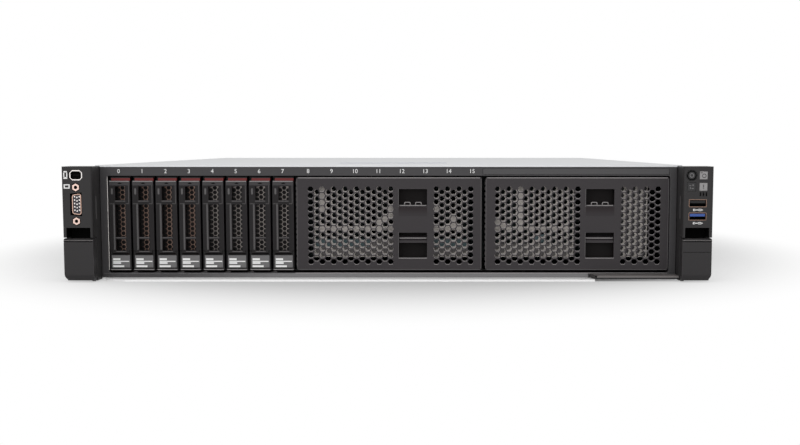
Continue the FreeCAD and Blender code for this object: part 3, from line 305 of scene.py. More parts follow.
class Finishes:
    """All finishes of the server."""

    ZINC = metal("zinc_sheet", (0.62, 0.63, 0.64), 0.38, grain=Grain.SPANGLE, grain_size=0.006)
    COVER = metal("cover_sheet", (0.96, 0.96, 0.98), 0.38, 0.6, grain_size=0.0007)
    LIP = metal("lip_sheet", (0.97, 0.96, 0.96), 0.5, 0.08, grain_size=0.0006)
    # black as painted shade, so the gaps before the cage read dark
    CAGE = moulded("cage_painted_shade", (0.010, 0.010, 0.0105), 0.5, 0.2, 0.2)
    BEZEL = moulded("bezel_charcoal", (0.041, 0.039, 0.041), 0.36, 0.3)
    EAR = moulded("ear_charcoal", (0.026, 0.0245, 0.025), 0.46, 0.22)
    EAR_LEVER = moulded("ear_lever_black", (0.028, 0.026, 0.027), 0.44, 0.22, 0.4)
    FILLER = moulded("filler_grey", (0.031, 0.0265, 0.029), 0.42, 0.25, 0.5)
    # darker than the filler's plastic: painted shade inside the notches
    POCKET = moulded("notch_painted_shade", (0.014, 0.012, 0.012), 0.6, 0.1, 0.1)
    # painted shadow under the upper tab's lip: darkest at the top, fading into the filler grey below
    SILL = Finish(
        "sill_painted_shadow", (0.014, 0.0085, 0.010), 0.42, bump=0.000015, tint=0.1, edge=0.0, shine=0.2,
        fade=(0.0548, 0.0482), faded=(0.031, 0.0265, 0.029),
    )
    FINGER = moulded("finger_dark", (0.030, 0.026, 0.027), 0.4, 0.3, 0.2)
    # the rail face's light grey is a painted reflection, fading to charcoal towards the left
    RAIL = Finish(
        "rail_painted_reflection", (0.17, 0.167, 0.17), 0.32, bump=0.000015, tint=0.1, edge=0.2, shine=0.4,
        fade=(-0.06, -0.18), faded=(0.036, 0.034, 0.036), fade_axis="X",
    )
    TRAY = moulded("tray_black", (0.012, 0.011, 0.0115), 0.5, 0.15)
    LEVER = moulded("lever_black", (0.012, 0.0105, 0.0112), 0.42, 0.16, 0.5)
    # painted highlights: lighter lines on lit edges, lips and hole rims
    RIM = moulded("painted_edge_highlight", (0.24, 0.225, 0.225), 0.35, 0.4, 0.2)
    # lighter lines on seams and edges, partly a painted highlight
    SEAM = moulded("seam_grey", (0.10, 0.094, 0.095), 0.4, 0.3, 0.1)
    CAP = moulded("lever_cap_grey", (0.038, 0.035, 0.037), 0.4, 0.25)
    LABEL = moulded("label_grey", (0.15, 0.146, 0.148), 0.5, 0.3, 0.2)
    PRINT = Finish("white_print", (0.88, 0.88, 0.87), 0.55, 0.0, Grain.PRINT, 0.0003, 0.000004, 0.06, 0.0)
    RED = moulded("latch_dark_red", (0.15, 0.018, 0.018), 0.42, 0.25)
    MESH = metal("mesh_steel", (0.29, 0.26, 0.245), 0.4, 0.9)
    WARM_MESH = metal("mesh_copper", (0.27, 0.18, 0.145), 0.4, 0.9)
    PIPE = moulded("light_pipe", (0.07, 0.066, 0.067), 0.3, 0.3, 0.3, 0.1)
    STEEL = metal("plated_steel", (0.58, 0.55, 0.53), 0.3)
    JACK = metal("jack_brass", (0.62, 0.46, 0.40), 0.34)
    COPPER = metal("shell_copper", (0.46, 0.31, 0.25))
    BRONZE = metal("rim_bronze", (0.20, 0.13, 0.10))
    INSERT = moulded("insert_dark", (0.028, 0.026, 0.034), 0.45, 0.3, 0.2)
    # near black: painted shade in the ear recesses and behind the rear vent; also used for marks, rings and
    # socket wells
    VOID = moulded("well_black", (0.004, 0.004, 0.004), 0.7, 0.05, 0.0)
    BLACK = moulded("socket_black", (0.012, 0.012, 0.013), 0.5, 0.25, 0.2)
    BLUE = moulded("socket_blue", (0.035, 0.09, 0.34), 0.4, 0.4, 0.2)
    LIGHT = moulded("light_window", (0.30, 0.29, 0.29), 0.35, 0.4, 0.2)
    BUTTON = moulded("button_charcoal", (0.022, 0.021, 0.022), 0.35, 0.3, 0.4)
    STRIP = moulded("strip_gloss", (0.036, 0.034, 0.036), 0.22, 0.35, 0.2, 0.05)
    TAB = moulded("tab_grey", (0.15, 0.138, 0.134), 0.4, 0.4, 0.2)
    BOARD = Finish("board_teal", (0.02, 0.13, 0.12), 0.35, 0.0, Grain.BOARD, 0.02, 0.00001, 0.3, 0.0, 0.3)
    BACKPLANE = Finish(
        "backplane_dark", (0.006, 0.026, 0.027), 0.5, 0.0, Grain.BOARD, 0.02, 0.00001, 0.3, 0.0
    )
    CHIP = moulded("chip_black", (0.02, 0.02, 0.021), 0.5, 0.3, 0.2)
    FAN = moulded("fan_black", (0.024, 0.024, 0.025), 0.5, 0.25, 0.2)
    ROTOR = moulded("rotor_grey", (0.05, 0.05, 0.052), 0.4, 0.3, 0.2)
    SINK = metal("sink_aluminium", (0.72, 0.72, 0.73))
    CARD = metal("card_anodised", (0.1, 0.1, 0.105), 0.35, 0.8)
    MEMORY = moulded("memory_green", (0.012, 0.055, 0.03), 0.4, 0.35, 0.2)
    RELEASE = moulded("release_orange", (0.42, 0.10, 0.03), 0.4, 0.35)
    SUPPLY = metal("supply_zinc", (0.55, 0.56, 0.57), 0.38, grain=Grain.SPANGLE, grain_size=0.005)
    TOUCH_BLUE = moulded("touch_blue", (0.03, 0.1, 0.36), 0.4, 0.4)
    GOLD = metal("contact_gold", (0.75, 0.52, 0.2), 0.3)
    PALE = metal("pale_sheet", (0.47, 0.435, 0.405), 0.45, 0.3, Grain.SPANGLE, 0.004)
    TEAL = moulded("rib_teal", (0.045, 0.085, 0.095), 0.4, 0.4, 0.2)
    DULL = moulded("rib_grey", (0.11, 0.10, 0.097), 0.4, 0.4, 0.2)
    GREEN_LED = Finish("green_lens", (0.1, 0.5, 0.15), 0.3, tint=0.05, edge=0.1, coat=0.3, glow=0.4)


# Meshes


def offset(base: float, start: float, end: float) -> Span:
    """Returns a span by the distances of its two ends from a base."""
    return base + start, base + end


def inset(span: Span, margin: float) -> Span:
    """Returns a span that is shorter by a margin at both ends."""
    return span[0] + margin, span[1] - margin


def spread(middle: float, size: float) -> Span:
    """Returns a span of a size round its middle."""
    return middle - size / 2, middle + size / 2


def ends(span: Span, thick: float) -> tuple[Span, Span]:
    """Returns the two walls of a thickness inside the ends of a span."""
    return (span[0], span[0] + thick), (span[1] - thick, span[1])


class Outline:
    """Flat outlines, as corners in order, in millimetres."""

    @staticmethod
    def rectangle(x: Span, z: Span) -> list[Point2]:
        """Returns the corners of a rectangle."""
        return [(x[0], z[0]), (x[1], z[0]), (x[1], z[1]), (x[0], z[1])]

    @staticmethod
    def ring(centre: Point2, radius: float, sides: int, turn: float = 0.0) -> list[Point2]:
        """Returns the corners of a regular polygon.

        Args:
            centre: Its middle.
            radius: Distance of its corners.
            sides: Number of corners.
            turn: Angle of the first corner, in degrees.

        Returns:
            The corners in order.
        """
        angles = [math.radians(turn + 360 * index / sides) for index in range(sides)]
        return [(centre[0] + radius * math.cos(a), centre[1] + radius * math.sin(a)) for a in angles]

    @staticmethod
    def rounded(x: Span, z: Span, radius: float, steps: int = 4) -> list[Point2]:
        """Returns a rectangle with round corners.

        Args:
            x: Low and high X.
            z: Low and high Z.
            radius: Radius of the corners.
            steps: Pieces in each corner.

        Returns:
            The corners in order.
        """
        low_x, high_x = x[0] + radius, x[1] - radius
        low_z, high_z = z[0] + radius, z[1] - radius
        middles = [(high_x, high_z), (low_x, high_z), (low_x, low_z), (high_x, low_z)]
        points = []
        for quarter, (mx, mz) in enumerate(middles):
            for step in range(steps + 1):
                angle = math.radians(90 * (quarter + step / steps))
                points.append((mx + radius * math.cos(angle), mz + radius * math.sin(angle)))
        return points

    @staticmethod
    def around(centre: Point2, width: float, height: float) -> tuple[Span, Span]:
        """Returns the X and Z spans of a rectangle round its middle."""
        return spread(centre[0], width), spread(centre[1], height)

    @staticmethod
    def circle_of(hole: list[Point2]) -> tuple[Vector, float]:
        """Finds the circle round a hole.

        Args:
            hole: The hole's corners.

        Returns:
            The middle of the hole and the reach of its corners.
        """
        corners = [Vector(point) for point in hole]
        middle = sum(corners, Vector((0.0, 0.0))) / len(corners)
        return middle, max((corner - middle).length for corner in corners)

    @staticmethod
    def inside(point: Vector, hole: list[Point2]) -> bool:
        """Tells whether a point lies in a convex outline.

        Args:
            point: The point.
            hole: The outline's corners in order.

        Returns:
            True if it lies inside.
        """
        signs = []
        for index, (x0, z0) in enumerate(hole):
            x1, z1 = hole[(index + 1) % len(hole)]
            signs.append((x1 - x0) * (point.y - z0) - (z1 - z0) * (point.x - x0) > 0)
        return all(signs) or not any(signs)


class Piece:
    """A piece in the making: blocks and plates that ride on one body together.

    Its methods take millimetres, and its mesh is in metres.
    """

    def __init__(self) -> None:
        """Starts an empty piece."""
        self.work = bmesh.new()

    def _ease(self, edges: list[bmesh.types.BMEdge], width: float) -> None:
        """Eases edges, unless the width is 0."""
        if width:
            values = {"offset": width * MM, "segments": 2, "profile": 0.6}
            bmesh.ops.bevel(self.work, geom=edges, affect="EDGES", **values)

    def _corner(self, x: float, y: float, z: float) -> bmesh.types.BMVert:
        """Adds a corner and returns it."""
        return self.work.verts.new((x * MM, y * MM, z * MM))

    def block(self, x: Span, y: Span, z: Span, bevel: float = 0.0) -> None:
        """Adds a block with eased edges.

        Args:
            x: Low and high X.
            y: Low and high Y.
            z: Low and high Z.
            bevel: Width of the eased edges.
        """
        size = Vector((x[1] - x[0], y[1] - y[0], z[1] - z[0])) * MM
        middle = Vector((sum(x) / 2, sum(y) / 2, sum(z) / 2)) * MM
        matrix = Matrix.Translation(middle) @ Matrix.Diagonal((*size, 1.0))
        made = bmesh.ops.create_cube(self.work, size=1.0, matrix=matrix)
        self._ease(list({edge for vertex in made["verts"] for edge in vertex.link_edges}), bevel)

    def bars(self, spot: Point2, bars: Bars, y: Span) -> None:
        """Adds small bars round a spot.

        Args:
            spot: X and Z that the bars are measured from.
            bars: X and Z of each bar's middle, from the spot, its width and its height.
            y: Front and back of the bars.
        """
        for across, up, width, height in bars:
            x, z = Outline.around((spot[0] + across, spot[1] + up), width, height)
            self.block(x, y, z)

    def prism(self, outline: list[Point2], y: Span, bevel: float = 0.0) -> None:
        """Adds an outline in X and Z, drawn out along Y.

        Args:
            outline: The corners in order.
            y: Front and back.
            bevel: Width of the eased front edge.
        """
        front, back = ([self._corner(px, depth, pz) for px, pz in outline] for depth in y)
        face = self.work.faces.new(front)
        self.work.faces.new(back)
        for index in range(len(outline)):
            after = (index + 1) % len(outline)
            self.work.faces.new((front[index], front[after], back[after], back[index]))
        self._ease(list(face.edges), bevel)

    def perforated(self, outline: list[Point2], holes: list[list[Point2]], y: Span) -> None:
        """Adds a plate in X and Z with holes right through it.

        Args:
            outline: The plate's corners.
            holes: The corners of each hole, convex.
            y: Front and back of the plate.
        """
        loops = [outline, *holes]
        points = [Vector(point) for loop in loops for point in loop]
        edges = []
        start = 0
        for loop in loops:
            edges += [(start + index, start + (index + 1) % len(loop)) for index in range(len(loop))]
            start += len(loop)
        corners, _, faces, _, _, _ = delaunay_2d_cdt(points, edges, [], 1, MERGE_DISTANCE)
        circles = [Outline.circle_of(hole) for hole in holes]
        sheets = [[self._corner(corner.x, depth, corner.y) for corner in corners] for depth in y]
        for face in faces:
            middle = sum((corners[index] for index in face), Vector((0.0, 0.0))) / len(face)
            if any((middle - centre).length < reach and Outline.inside(middle, hole)
                   for (centre, reach), hole in zip(circles, holes)):
                continue
            for sheet in sheets:
                self.work.faces.new([sheet[index] for index in face])
        self._skirt(*sheets)

    def slab(self, outline: list[Point2], holes: list[list[Point2]], z: Span) -> None:
        """Adds a plate in X and Y with holes right through it.

        Args:
            outline: The plate's corners.
            holes: The corners of each hole, convex.
            z: Underside and top of the plate.
        """
        flat = Piece()
        flat.perforated(outline, holes, z)
        for vertex in flat.work.verts:
            vertex.co = vertex.co.xzy
        sheet = flat.mesh("slab")
        self.work.from_mesh(sheet)
        bpy.data.meshes.remove(sheet)

    def _skirt(self, front: list[bmesh.types.BMVert], back: list[bmesh.types.BMVert]) -> None:
        """Closes the rims between two like sheets of vertices.

        Args:
            front: The front vertices.
            back: The back vertices, in the same order.
        """
        twin = dict(zip(front, back))
        rims = [edge for edge in self.work.edges if edge.is_boundary and all(v in twin for v in edge.verts)]
        for edge in rims:
            first, second = edge.verts
            self.work.faces.new((first, second, twin[second], twin[first]))

    def mesh(self, name: str) -> bpy.types.Mesh:
        """Writes the piece to a mesh and ends the work.

        Args:
            name: Name of the mesh.

        Returns:
            The mesh.
        """
        mesh = bpy.data.meshes.new(name)
        self.work.to_mesh(mesh)
        self.work.free()
        return mesh

    def place(self, name: str, finish: Finish, slot: str, body: str = CHASSIS) -> bpy.types.Object:
        """Closes the piece with outward normals and puts it in the scene.

        Args:
            name: Name of the piece.
            finish: Its finish.
            slot: The record's material slot; not used.
            body: The body that it rides on.

        Returns:
            The new object.
        """
        bmesh.ops.recalc_face_normals(self.work, faces=self.work.faces)
        return put(name, self.mesh(name), finish, body)


def put(name: str, mesh: bpy.types.Mesh, finish: Finish, body: str) -> bpy.types.Object:
    """Makes an object of a mesh, gives it a finish and lets it ride.

    Args:
        name: Name of the piece.
        mesh: Its mesh in the server's frame.
        finish: Its finish.
        body: The body that it rides on.

    Returns:
        The new object.
    """
    mesh.shade_flat()
    mesh.materials.append(finish.material())
    thing = bpy.data.objects.new(name, mesh)
    bpy.context.scene.collection.objects.link(thing)
    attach(thing, body)
    LOG.info("piece %s on %s", name, body)
    return thing


def numeral(text: str, centre: Vector, height: float) -> bpy.types.Mesh:
    """Returns a flat printed number that faces the front.

    Args:
        text: The number.
        centre: Its middle, in millimetres.
        height: Height of its figures, in millimetres.

    Returns:
        The mesh in the server's frame.
    """
    curve = bpy.data.curves.new("numeral_" + text, "FONT")
    curve.body = text
    curve.align_x = "CENTER"
    curve.align_y = "CENTER"
    curve.size = height / FIGURE_SHARE * MM
    curve.extrude = PRINT_DEPTH * MM
    curve.resolution_u = 3
    source = bpy.data.objects.new("numeral_source", curve)
    bpy.context.scene.collection.objects.link(source)
    bpy.context.view_layer.update()
    mesh = bpy.data.meshes.new_from_object(source)
    mesh.transform(Matrix.Translation(centre * MM) @ Matrix.Rotation(math.pi / 2, 4, "X"))
    bpy.data.objects.remove(source)
    bpy.data.curves.remove(curve)
    return mesh


def dress(node: str, finish: Finish, bevel: float = 0.3) -> None:
    """Gives a CAD node its finish and eased edges.

    Args:
        node: Name of the node.
        finish: Its finish.
        bevel: Width of the eased edges in millimetres, or 0 for none.
    """
    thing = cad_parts[node]
    thing.data.materials.clear()
    thing.data.materials.append(finish.material())
    if bevel:
        ease(thing, bevel)
    LOG.info("node %s in %s", node, finish.name)


def ease(thing: bpy.types.Object, width: float) -> None:
    """Eases the sharp edges of an object.

    Args:
        thing: The object.
        width: Width of the eased edges in millimetres.
    """
    eased = thing.modifiers.new("eased_edges", "BEVEL")
    eased.width = width * MM
    eased.segments = 2
    eased.limit_method = "ANGLE"
    eased.angle_limit = math.radians(SHARP_ANGLE)
    eased.use_clamp_overlap = True


@cache
def spans_of(node: str) -> tuple[Span, Span, Span]:
    """Returns the low and high X, Y and Z of a CAD node, in millimetres."""
    low, high = (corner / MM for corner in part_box(node))
    return (low.x, high.x), (low.y, high.y), (low.z, high.z)


# Sub-assemblies, with all lengths in millimetres


@dataclass
class Casework:
    """The sheet metal case: tray, rear wall, cover with its latch, and cage."""

    grip_ribs: int = 4
    grip_inset: float = 4.0  # from the latch's front
    grip_pitch: float = 2.6
    grip_length: float = 44.0
    grip_width: float = 1.1
    rise: float = 0.45  # of ribs and lock over the latch
    seat: float = 0.2  # how deep they stand in it
    lock_radius: float = 4.5
    lock_back: float = 6.0  # behind the latch's middle
    lock_slot: Point2 = (6.0, 1.2)  # length and width

    def build(self) -> None:
        """Dresses the case."""
        dress("chassis_tray", Finishes.LIP, 0.4)
        dress("rear_wall", Finishes.ZINC, 0.2)
        # the cage's black is painted shade
        dress("drive_cage", Finishes.CAGE, 0.0)
        dress("top_cover", Finishes.COVER, 0.4)
        dress("cover_latch", Finishes.TOUCH_BLUE, 0.6)
        self._latch_marks()

    def _latch_marks(self) -> None:
        """Puts grip ribs and a slotted lock on the cover latch."""
        x, y, z = spans_of("cover_latch")
        middle = sum(x) / 2
        height = offset(z[1], -self.seat, self.rise)
        ribs = Piece()
        for index in range(self.grip_ribs):
            front = y[0] + self.grip_inset + index * self.grip_pitch
            ribs.block(spread(middle, self.grip_length), offset(front, 0.0, self.grip_width), height, 0.2)
        ribs.place("latch_grip", Finishes.TOUCH_BLUE, "cover_latch_blue", "cover_latch")
        spot = (middle, sum(y) / 2 + self.lock_back)
        slot = Outline.rectangle(*Outline.around(spot, *self.lock_slot))
        lock = Piece()
        lock.slab(Outline.ring(spot, self.lock_radius, 40), [slot], height)
        lock.place("latch_lock", Finishes.STEEL, "cover_latch_blue", "cover_latch")


@dataclass
class Bezel:
    """The front frame with its bay numbers, blank strip and information tab."""

    bays: int = 16  # that carry a number
    block_bays: int = 8
    block_pitch: float = 142.0
    bay_pitch: float = 17.7
    block_margin: float = 0.4  # spare width in a block
    figure_height: float = 3.1
    figure_rise: float = 3.4  # of the numbers' middle over the opening
    figure_shift: float = 1.2  # of the second block's numbers to the right
    strip_height: float = 4.8
    strip_drop: float = 0.8  # depth of its recess
    strip_inset: float = 0.3  # from the ends of its block
    strip_room: float = 0.15  # round it in the recess
    opening_gap: float = 0.3  # round the trays
    opening_corner: float = 1.6
    relief: float = 1.7  # how far the opening reaches further down
    rail_edge: float = 0.5  # height of the painted highlight along the rail's upper edge
    ramp: tuple[Point2, ...] = (  # corners, from the bay's edge and the opening's floor
        (-1.8, -0.3), (4.0, -0.3), (3.4, 1.1), (-1.2, 0.2),
    )
    ramp_depth: Span = (0.3, 4.0)  # behind the bezel's front
    stem_inset: float = 10.0  # from the tab's right end
    stem_width: float = 44.0
    stem_room: float = 3.0  # height of its slot
    edge_plate: float = 0.4  # thickness
    edge_depth: Span = (0.2, 15.0)  # behind the bezel's front
    tab_left: float = 152.7  # at the bezel
    tab_slant: float = 2.8  # of its left end, to the right
    tab_rim: float = 1.2  # width
    hole_reach: Span = (10.0, 24.0)  # of the finger hole, from the front corner
    hole_width: float = 4.0
    lip_sheet: float = 1.5
    lip_ends: Span = (-0.7, 7.0)  # at the front and at the bezel, from the solid tab's left

    def build(self) -> None:
        """Builds the frame in one piece and adds its rail, edge plate, tab, print and strip."""
        self._frame()
        self._rail()
        self._edge_plate()
        self._tab()
        self._lip()
        self._numbers()
        self._strip()

    @property
    def opening(self) -> tuple[Span, Span]:
        """Returns the X and Z spans of the bay opening."""
        bays = spans_of("drive_tray_0")[2]
        low, high = inset(bays, -self.opening_gap)
        return spread(0.0, 3 * self.block_pitch), (low - self.relief, high)

    @property
    def front(self) -> float:
        """Returns the Y of the bezel's front."""
        return spans_of("front_bezel")[1][0]

    @property
    def tab_back(self) -> float:
        """Returns the Y of the tab's back, a gap before the bezel."""
        return self.front - self.opening_gap

    def _bay_edge(self, bay: float) -> float:
        """Returns the X of a bay's left edge in the first block."""
        return self.opening[0][0] + self.block_margin / 2 + bay * self.bay_pitch

    def _frame(self) -> None:
        """Builds the frame with its bay opening, strip recess and tab slot."""
        x, y, z = spans_of("front_bezel")
        opening = Outline.rounded(*self.opening, self.opening_corner, 3)
        strip = Outline.rounded(*self._strip_spans(), 0.4, 2)
        stem_right = spans_of("info_tab")[0][1] - self.stem_inset + self.opening_gap
        stem_left = stem_right - self.stem_width - 2 * self.opening_gap
        stem_top = z[0] + self.stem_room
        outline = [
            (x[0], z[1]), (x[0], z[0]), (stem_left, z[0]), (stem_left, stem_top),
            (stem_right, stem_top), (stem_right, z[0]), (x[1], z[0]), (x[1], z[1]),
        ]
        work = Piece()
        floor = y[0] + self.strip_drop
        work.perforated(outline, [opening, strip], (y[0], floor))
        work.perforated(outline, [opening], (floor, y[1]))
        frame_piece = work.place("bezel_frame", Finishes.BEZEL, "bezel_plastic")
        ease(frame_piece, 0.5)
        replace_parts(frame_piece, "front_bezel")

    def _rail(self) -> None:
        """Faces the lower rail with a lighter plate, a painted reflection that darkens to the left, lays a
        painted highlight along its upper edge and adds guide ramps between trays.
        """
        x, y, z = spans_of("front_bezel")
        (_, right), (top, _) = self.opening
        depth = offset(y[0], -0.06, 0.3)
        plate = Piece()
        plate.block(inset((x[0], self.tab_left), 1.0), depth, (z[0] + 0.2, top - self.rail_edge), 0.05)
        plate.place("rail_face", Finishes.RAIL, "bezel_plastic")
        edge = Piece()
        edge.block((-self.block_pitch / 2, right - 1.0), depth, offset(top, -self.rail_edge, -0.05))
        edge.place("rail_edge", Finishes.RIM, "bezel_plastic")
        ramps = Piece()
        for bay in range(1, self.block_bays):
            outline = [(self._bay_edge(bay) + across, top + rise) for across, rise in self.ramp]
            ramps.prism(outline, offset(y[0], *self.ramp_depth), 0.15)
        ramps.place("guide_ramps", Finishes.CAP, "bezel_plastic")

    def _tab(self) -> None:
        """Builds the pull-out tab with its stem, dark rim and finger hole."""
        x, y, z = spans_of("info_tab")
        left, back = self.tab_left, self.tab_back
        near = left + self.tab_slant
        hole_y = spread((back + y[0]) / 2, self.hole_width)
        hole = Outline.rounded(offset(near, *self.hole_reach), hole_y, self.hole_width / 2)
        work = Piece()
        work.slab([(left, back), (near, y[0]), (x[1], y[0]), (x[1], back)], [hole], z)
        work.block(offset(x[1] - self.stem_inset, -self.stem_width, 0.0), (back - 0.2, y[1]), z)
        plate = work.place("info_plate", Finishes.TAB, "tab_plastic", "info_tab")
        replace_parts(plate, "info_tab")
        rim = Piece()
        rim.block((near, x[1]), offset(y[0], -0.02, 0.4), offset(z[0], 0.0, 1.0))
        slant = [(left, back), (near, y[0]), (near + self.tab_rim, y[0]), (left + self.tab_rim, back)]
        rim.slab(slant, [], (z[0] + 0.1, z[1] + 0.02))
        rim.place("info_rim", Finishes.BLACK, "tab_plastic", "info_tab")

    def _lip(self) -> None:
        """Fills the lip of the chassis up to the tab's slanted end."""
        x, y, _ = spans_of("info_tab")
        right = self.tab_left - self.opening_gap
        start, end = offset(x[0], *self.lip_ends)
        plan = [(start, y[0]), (right + self.tab_slant, y[0]), (right, self.front), (end, self.front)]
        lip = Piece()
        lip.slab(plan, [], (0.02, self.lip_sheet))
        lip.place("lip_end", Finishes.LIP, "galvanised_sheet")

    def _edge_plate(self) -> None:
        """Stands a bright thin plate at the left end of the opening, beside the first tray: a painted
        highlight for the lit inner wall of the opening.
        """
        left = self.opening[0][0]
        depth = offset(self.front, *self.edge_depth)
        work = Piece()
        work.block(offset(left, 0.0, self.edge_plate), depth, spans_of("drive_tray_0")[2], 0.1)
        work.place("edge_plate", Finishes.STEEL, "galvanised_sheet")

    def _strip_spans(self) -> tuple[Span, Span]:
        """Returns the X and Z spans of the strip's recess."""
        (_, right), (_, low) = self.opening
        middle = (low + spans_of("front_bezel")[2][1]) / 2
        return inset((self.block_pitch / 2, right), self.strip_inset), spread(middle, self.strip_height)

    def _numbers(self) -> None:
        """Prints a number over each of the first bays."""
        height = self.opening[1][1] + self.figure_rise
        for bay in range(self.bays):
            block, place = divmod(bay, self.block_bays)
            centre = self._bay_edge(place + 0.5) + block * (self.block_pitch + self.figure_shift)
            figure = numeral(str(bay), Vector((centre, self.front - 0.01, height)), self.figure_height)
            put(f"bay_number_{bay}", figure, Finishes.PRINT, CHASSIS)

    def _strip(self) -> None:
        """Lays the blank strip in its recess."""
        x, z = (inset(span, self.strip_room) for span in self._strip_spans())
        work = Piece()
        work.block(x, offset(self.front, self.strip_room, self.strip_drop), z, 0.25)
        work.place("blank_strip", Finishes.STRIP, "bezel_plastic")


@dataclass
class DriveTray:
    """One hot-swap drive tray with its lever, latch and fine front."""

    bay: int
    left_pillar: float = 4.5  # of the lever
    right_pillar: float = 3.8
    top_band: float = 4.1  # solid top of the lever
    windows: tuple[float, float, float] = (10.6, 24.7, 8.85)  # heights, from the top down
    rungs: tuple[float, float] = (3.1, 1.6)  # between the windows
    mesh_pitch: float = 3.47
    mesh_web: float = 0.4
    mesh_depth: float = 0.6
    mesh_back: float = 13.95  # behind the lever's front
    mesh_shift: float = 0.3  # to the left
    pipe_width: float = 1.3
    pipe_rise: float = 3.2  # over the lever's foot
    seam: float = 0.3
    cap: Span = (-3.3, -0.6)  # foot and top, from the lever's top
    arrow: Span = (1.9, 0.4)  # half its width at foot and top
    lens: Span = (-10.2, -5.6)  # foot and top, from the lever's top
    lens_inset: float = 2.3  # of its middle, from the lever's left
    label: Span = (1.9, 11.1)  # foot and top, from the tray's underside
    label_inset: float = 1.1
    label_bars: tuple[tuple[float, float, float], ...] = (  # drop, thickness and length
        (2.9, 1.5, 5.6), (4.55, 0.8, 12.2), (5.8, 1.3, 6.0), (8.25, 1.4, 8.4),
    )
    ledge: Span = (0.02, 0.65)  # from the tray's underside
    warm_bays: int = 4  # bays with a coppery mesh
    warm_shade: Span = (-1.4, -4.2)  # from where to where the painted pillar shadow darkens that mesh, from its middle
    plain_shade: Span = (-2.4, -4.8)  # the same in the other bays

    def build(self) -> None:
        """Dresses the tray and adds its mesh, light pipe, edges and label print."""
        dress(self.tray, Finishes.TRAY, 0.2)
        dress(self.lever, Finishes.LEVER, 0.4)
        self._latch()
        self._mesh()
        self._pipe()
        self._edges()
        self._marks()
        self._label()

    @property
    def tray(self) -> str:
        """Returns the name of the tray's node and body."""
        return f"drive_tray_{self.bay}"

    @property
    def lever(self) -> str:
        """Returns the name of the lever's node and body."""
        return f"tray_lever_{self.bay}"

    def _on_lever(self, work: Piece, name: str, finish: Finish) -> None:
        """Places a piece on the lever, with the bay added to its name."""
        work.place(f"{name}_{self.bay}", finish, "lever_plastic", self.lever)

    def _on_tray(self, work: Piece, name: str, finish: Finish) -> None:
        """Places a piece on the tray, with the bay added to its name."""
        work.place(f"{name}_{self.bay}", finish, "tray_plastic", self.tray)

    def _latch(self) -> None:
        """Dresses the latch and darkens its upper edge with a black strip: painted shade of the gap above
        it.
        """
        latch = f"tray_latch_{self.bay}"
        dress(latch, Finishes.RED, 0.3)
        x, y, z = spans_of(latch)
        work = Piece()
        work.block(x, offset(y[0], -0.03, 3.0), offset(z[1], -0.5, 0.02))
        work.place(f"latch_edge_{self.bay}", Finishes.BLACK, "latch_red", latch)

    def _window_spans(self) -> list[Span]:
        """Returns the height spans of the three windows, from the top down."""
        high = spans_of(self.lever)[2][1] - self.top_band
        spans = []
        for window, rung in zip(self.windows, (*self.rungs, 0.0)):
            spans.append((high - window, high))
            high -= window + rung
        return spans

    def _mesh(self) -> None:
        """Sets a hexagonal mesh behind the windows, right across the tray."""
        x, y, z = spans_of(self.lever)
        back = y[0] + self.mesh_back
        radius = (self.mesh_pitch - self.mesh_web) / math.sqrt(3)
        step = self.mesh_pitch * math.sqrt(3) / 2
        middle = sum(x) / 2 - self.mesh_shift
        high = z[1] - self.top_band + 0.2
        rows = math.ceil((high - z[0]) / self.mesh_pitch)
        low = high - rows * self.mesh_pitch - 0.3
        holes = []
        for column in range(-2, 3):
            short = column % 2
            for row in range(rows - short):
                height = high - (row + 0.5 + short / 2) * self.mesh_pitch
                holes.append(Outline.ring((middle + column * step, height), radius, 6))
        work = Piece()
        plate = Outline.rectangle(inset(x, 0.05), (low, high))
        work.perforated(plate, holes, (back - self.mesh_depth, back))
        self._on_tray(work, "tray_mesh", self._mesh_finish(middle))

    def _mesh_finish(self, middle: float) -> Finish:
        """Returns the mesh's finish, which darkens to the left: the painted shadow of the lever's left
        pillar.

        Args:
            middle: X of the mesh's middle.

        Returns:
            The finish of this bay's mesh.
        """
        warm = self.bay < self.warm_bays
        plain = Finishes.WARM_MESH if warm else Finishes.MESH
        near, far = offset(middle, *(self.warm_shade if warm else self.plain_shade))
        return replace(
            plain, name=f"{plain.name}_{self.bay}", edge=0.0, fade_axis="X",
            fade=(near * MM, far * MM), faded=Finishes.TRAY.colour,
        )

    def _pipe(self) -> None:
        """Lays the light pipe on the lower part of the lever's left pillar."""
        x, y, z = spans_of(self.lever)
        right = x[0] + self.left_pillar - 0.35
        height = (z[0] + self.pipe_rise, self._window_spans()[1][1])
        work = Piece()
        work.block((right - self.pipe_width, right), offset(y[0], -0.3, 0.5), height, 0.25)
        self._on_lever(work, "light_pipe", Finishes.PIPE)

    def _edges(self) -> None:
        """Lays a painted highlight along the lever's top edge, and lighter seam lines on its rungs and foot
        and round its head, partly a painted highlight.
        """
        x, y, z = spans_of(self.lever)
        across = (x[0] + self.left_pillar, x[1] - self.right_pillar)
        depth = offset(y[0], -0.06, 0.2)
        edge = Piece()
        edge.block(inset(x, 0.5), depth, offset(z[1], -0.55, -0.02))
        self._on_lever(edge, "lever_edge", Finishes.RIM)
        seam_highlights = Piece()
        for low, _ in self._window_spans():
            seam_highlights.block(across, depth, offset(low, -0.8, -0.3))
        parting = self._window_spans()[1][1] + 0.4
        right = x[1] - 0.9
        seam_highlights.block((right - self.seam, right), depth, (parting, z[1] - 3.4))
        for span in ((x[0] + 0.4, across[0] - 0.3), (across[1] + 0.3, right)):
            seam_highlights.block(span, depth, offset(parting, 0.0, self.seam))
        self._on_lever(seam_highlights, "lever_seam_highlights", Finishes.SEAM)

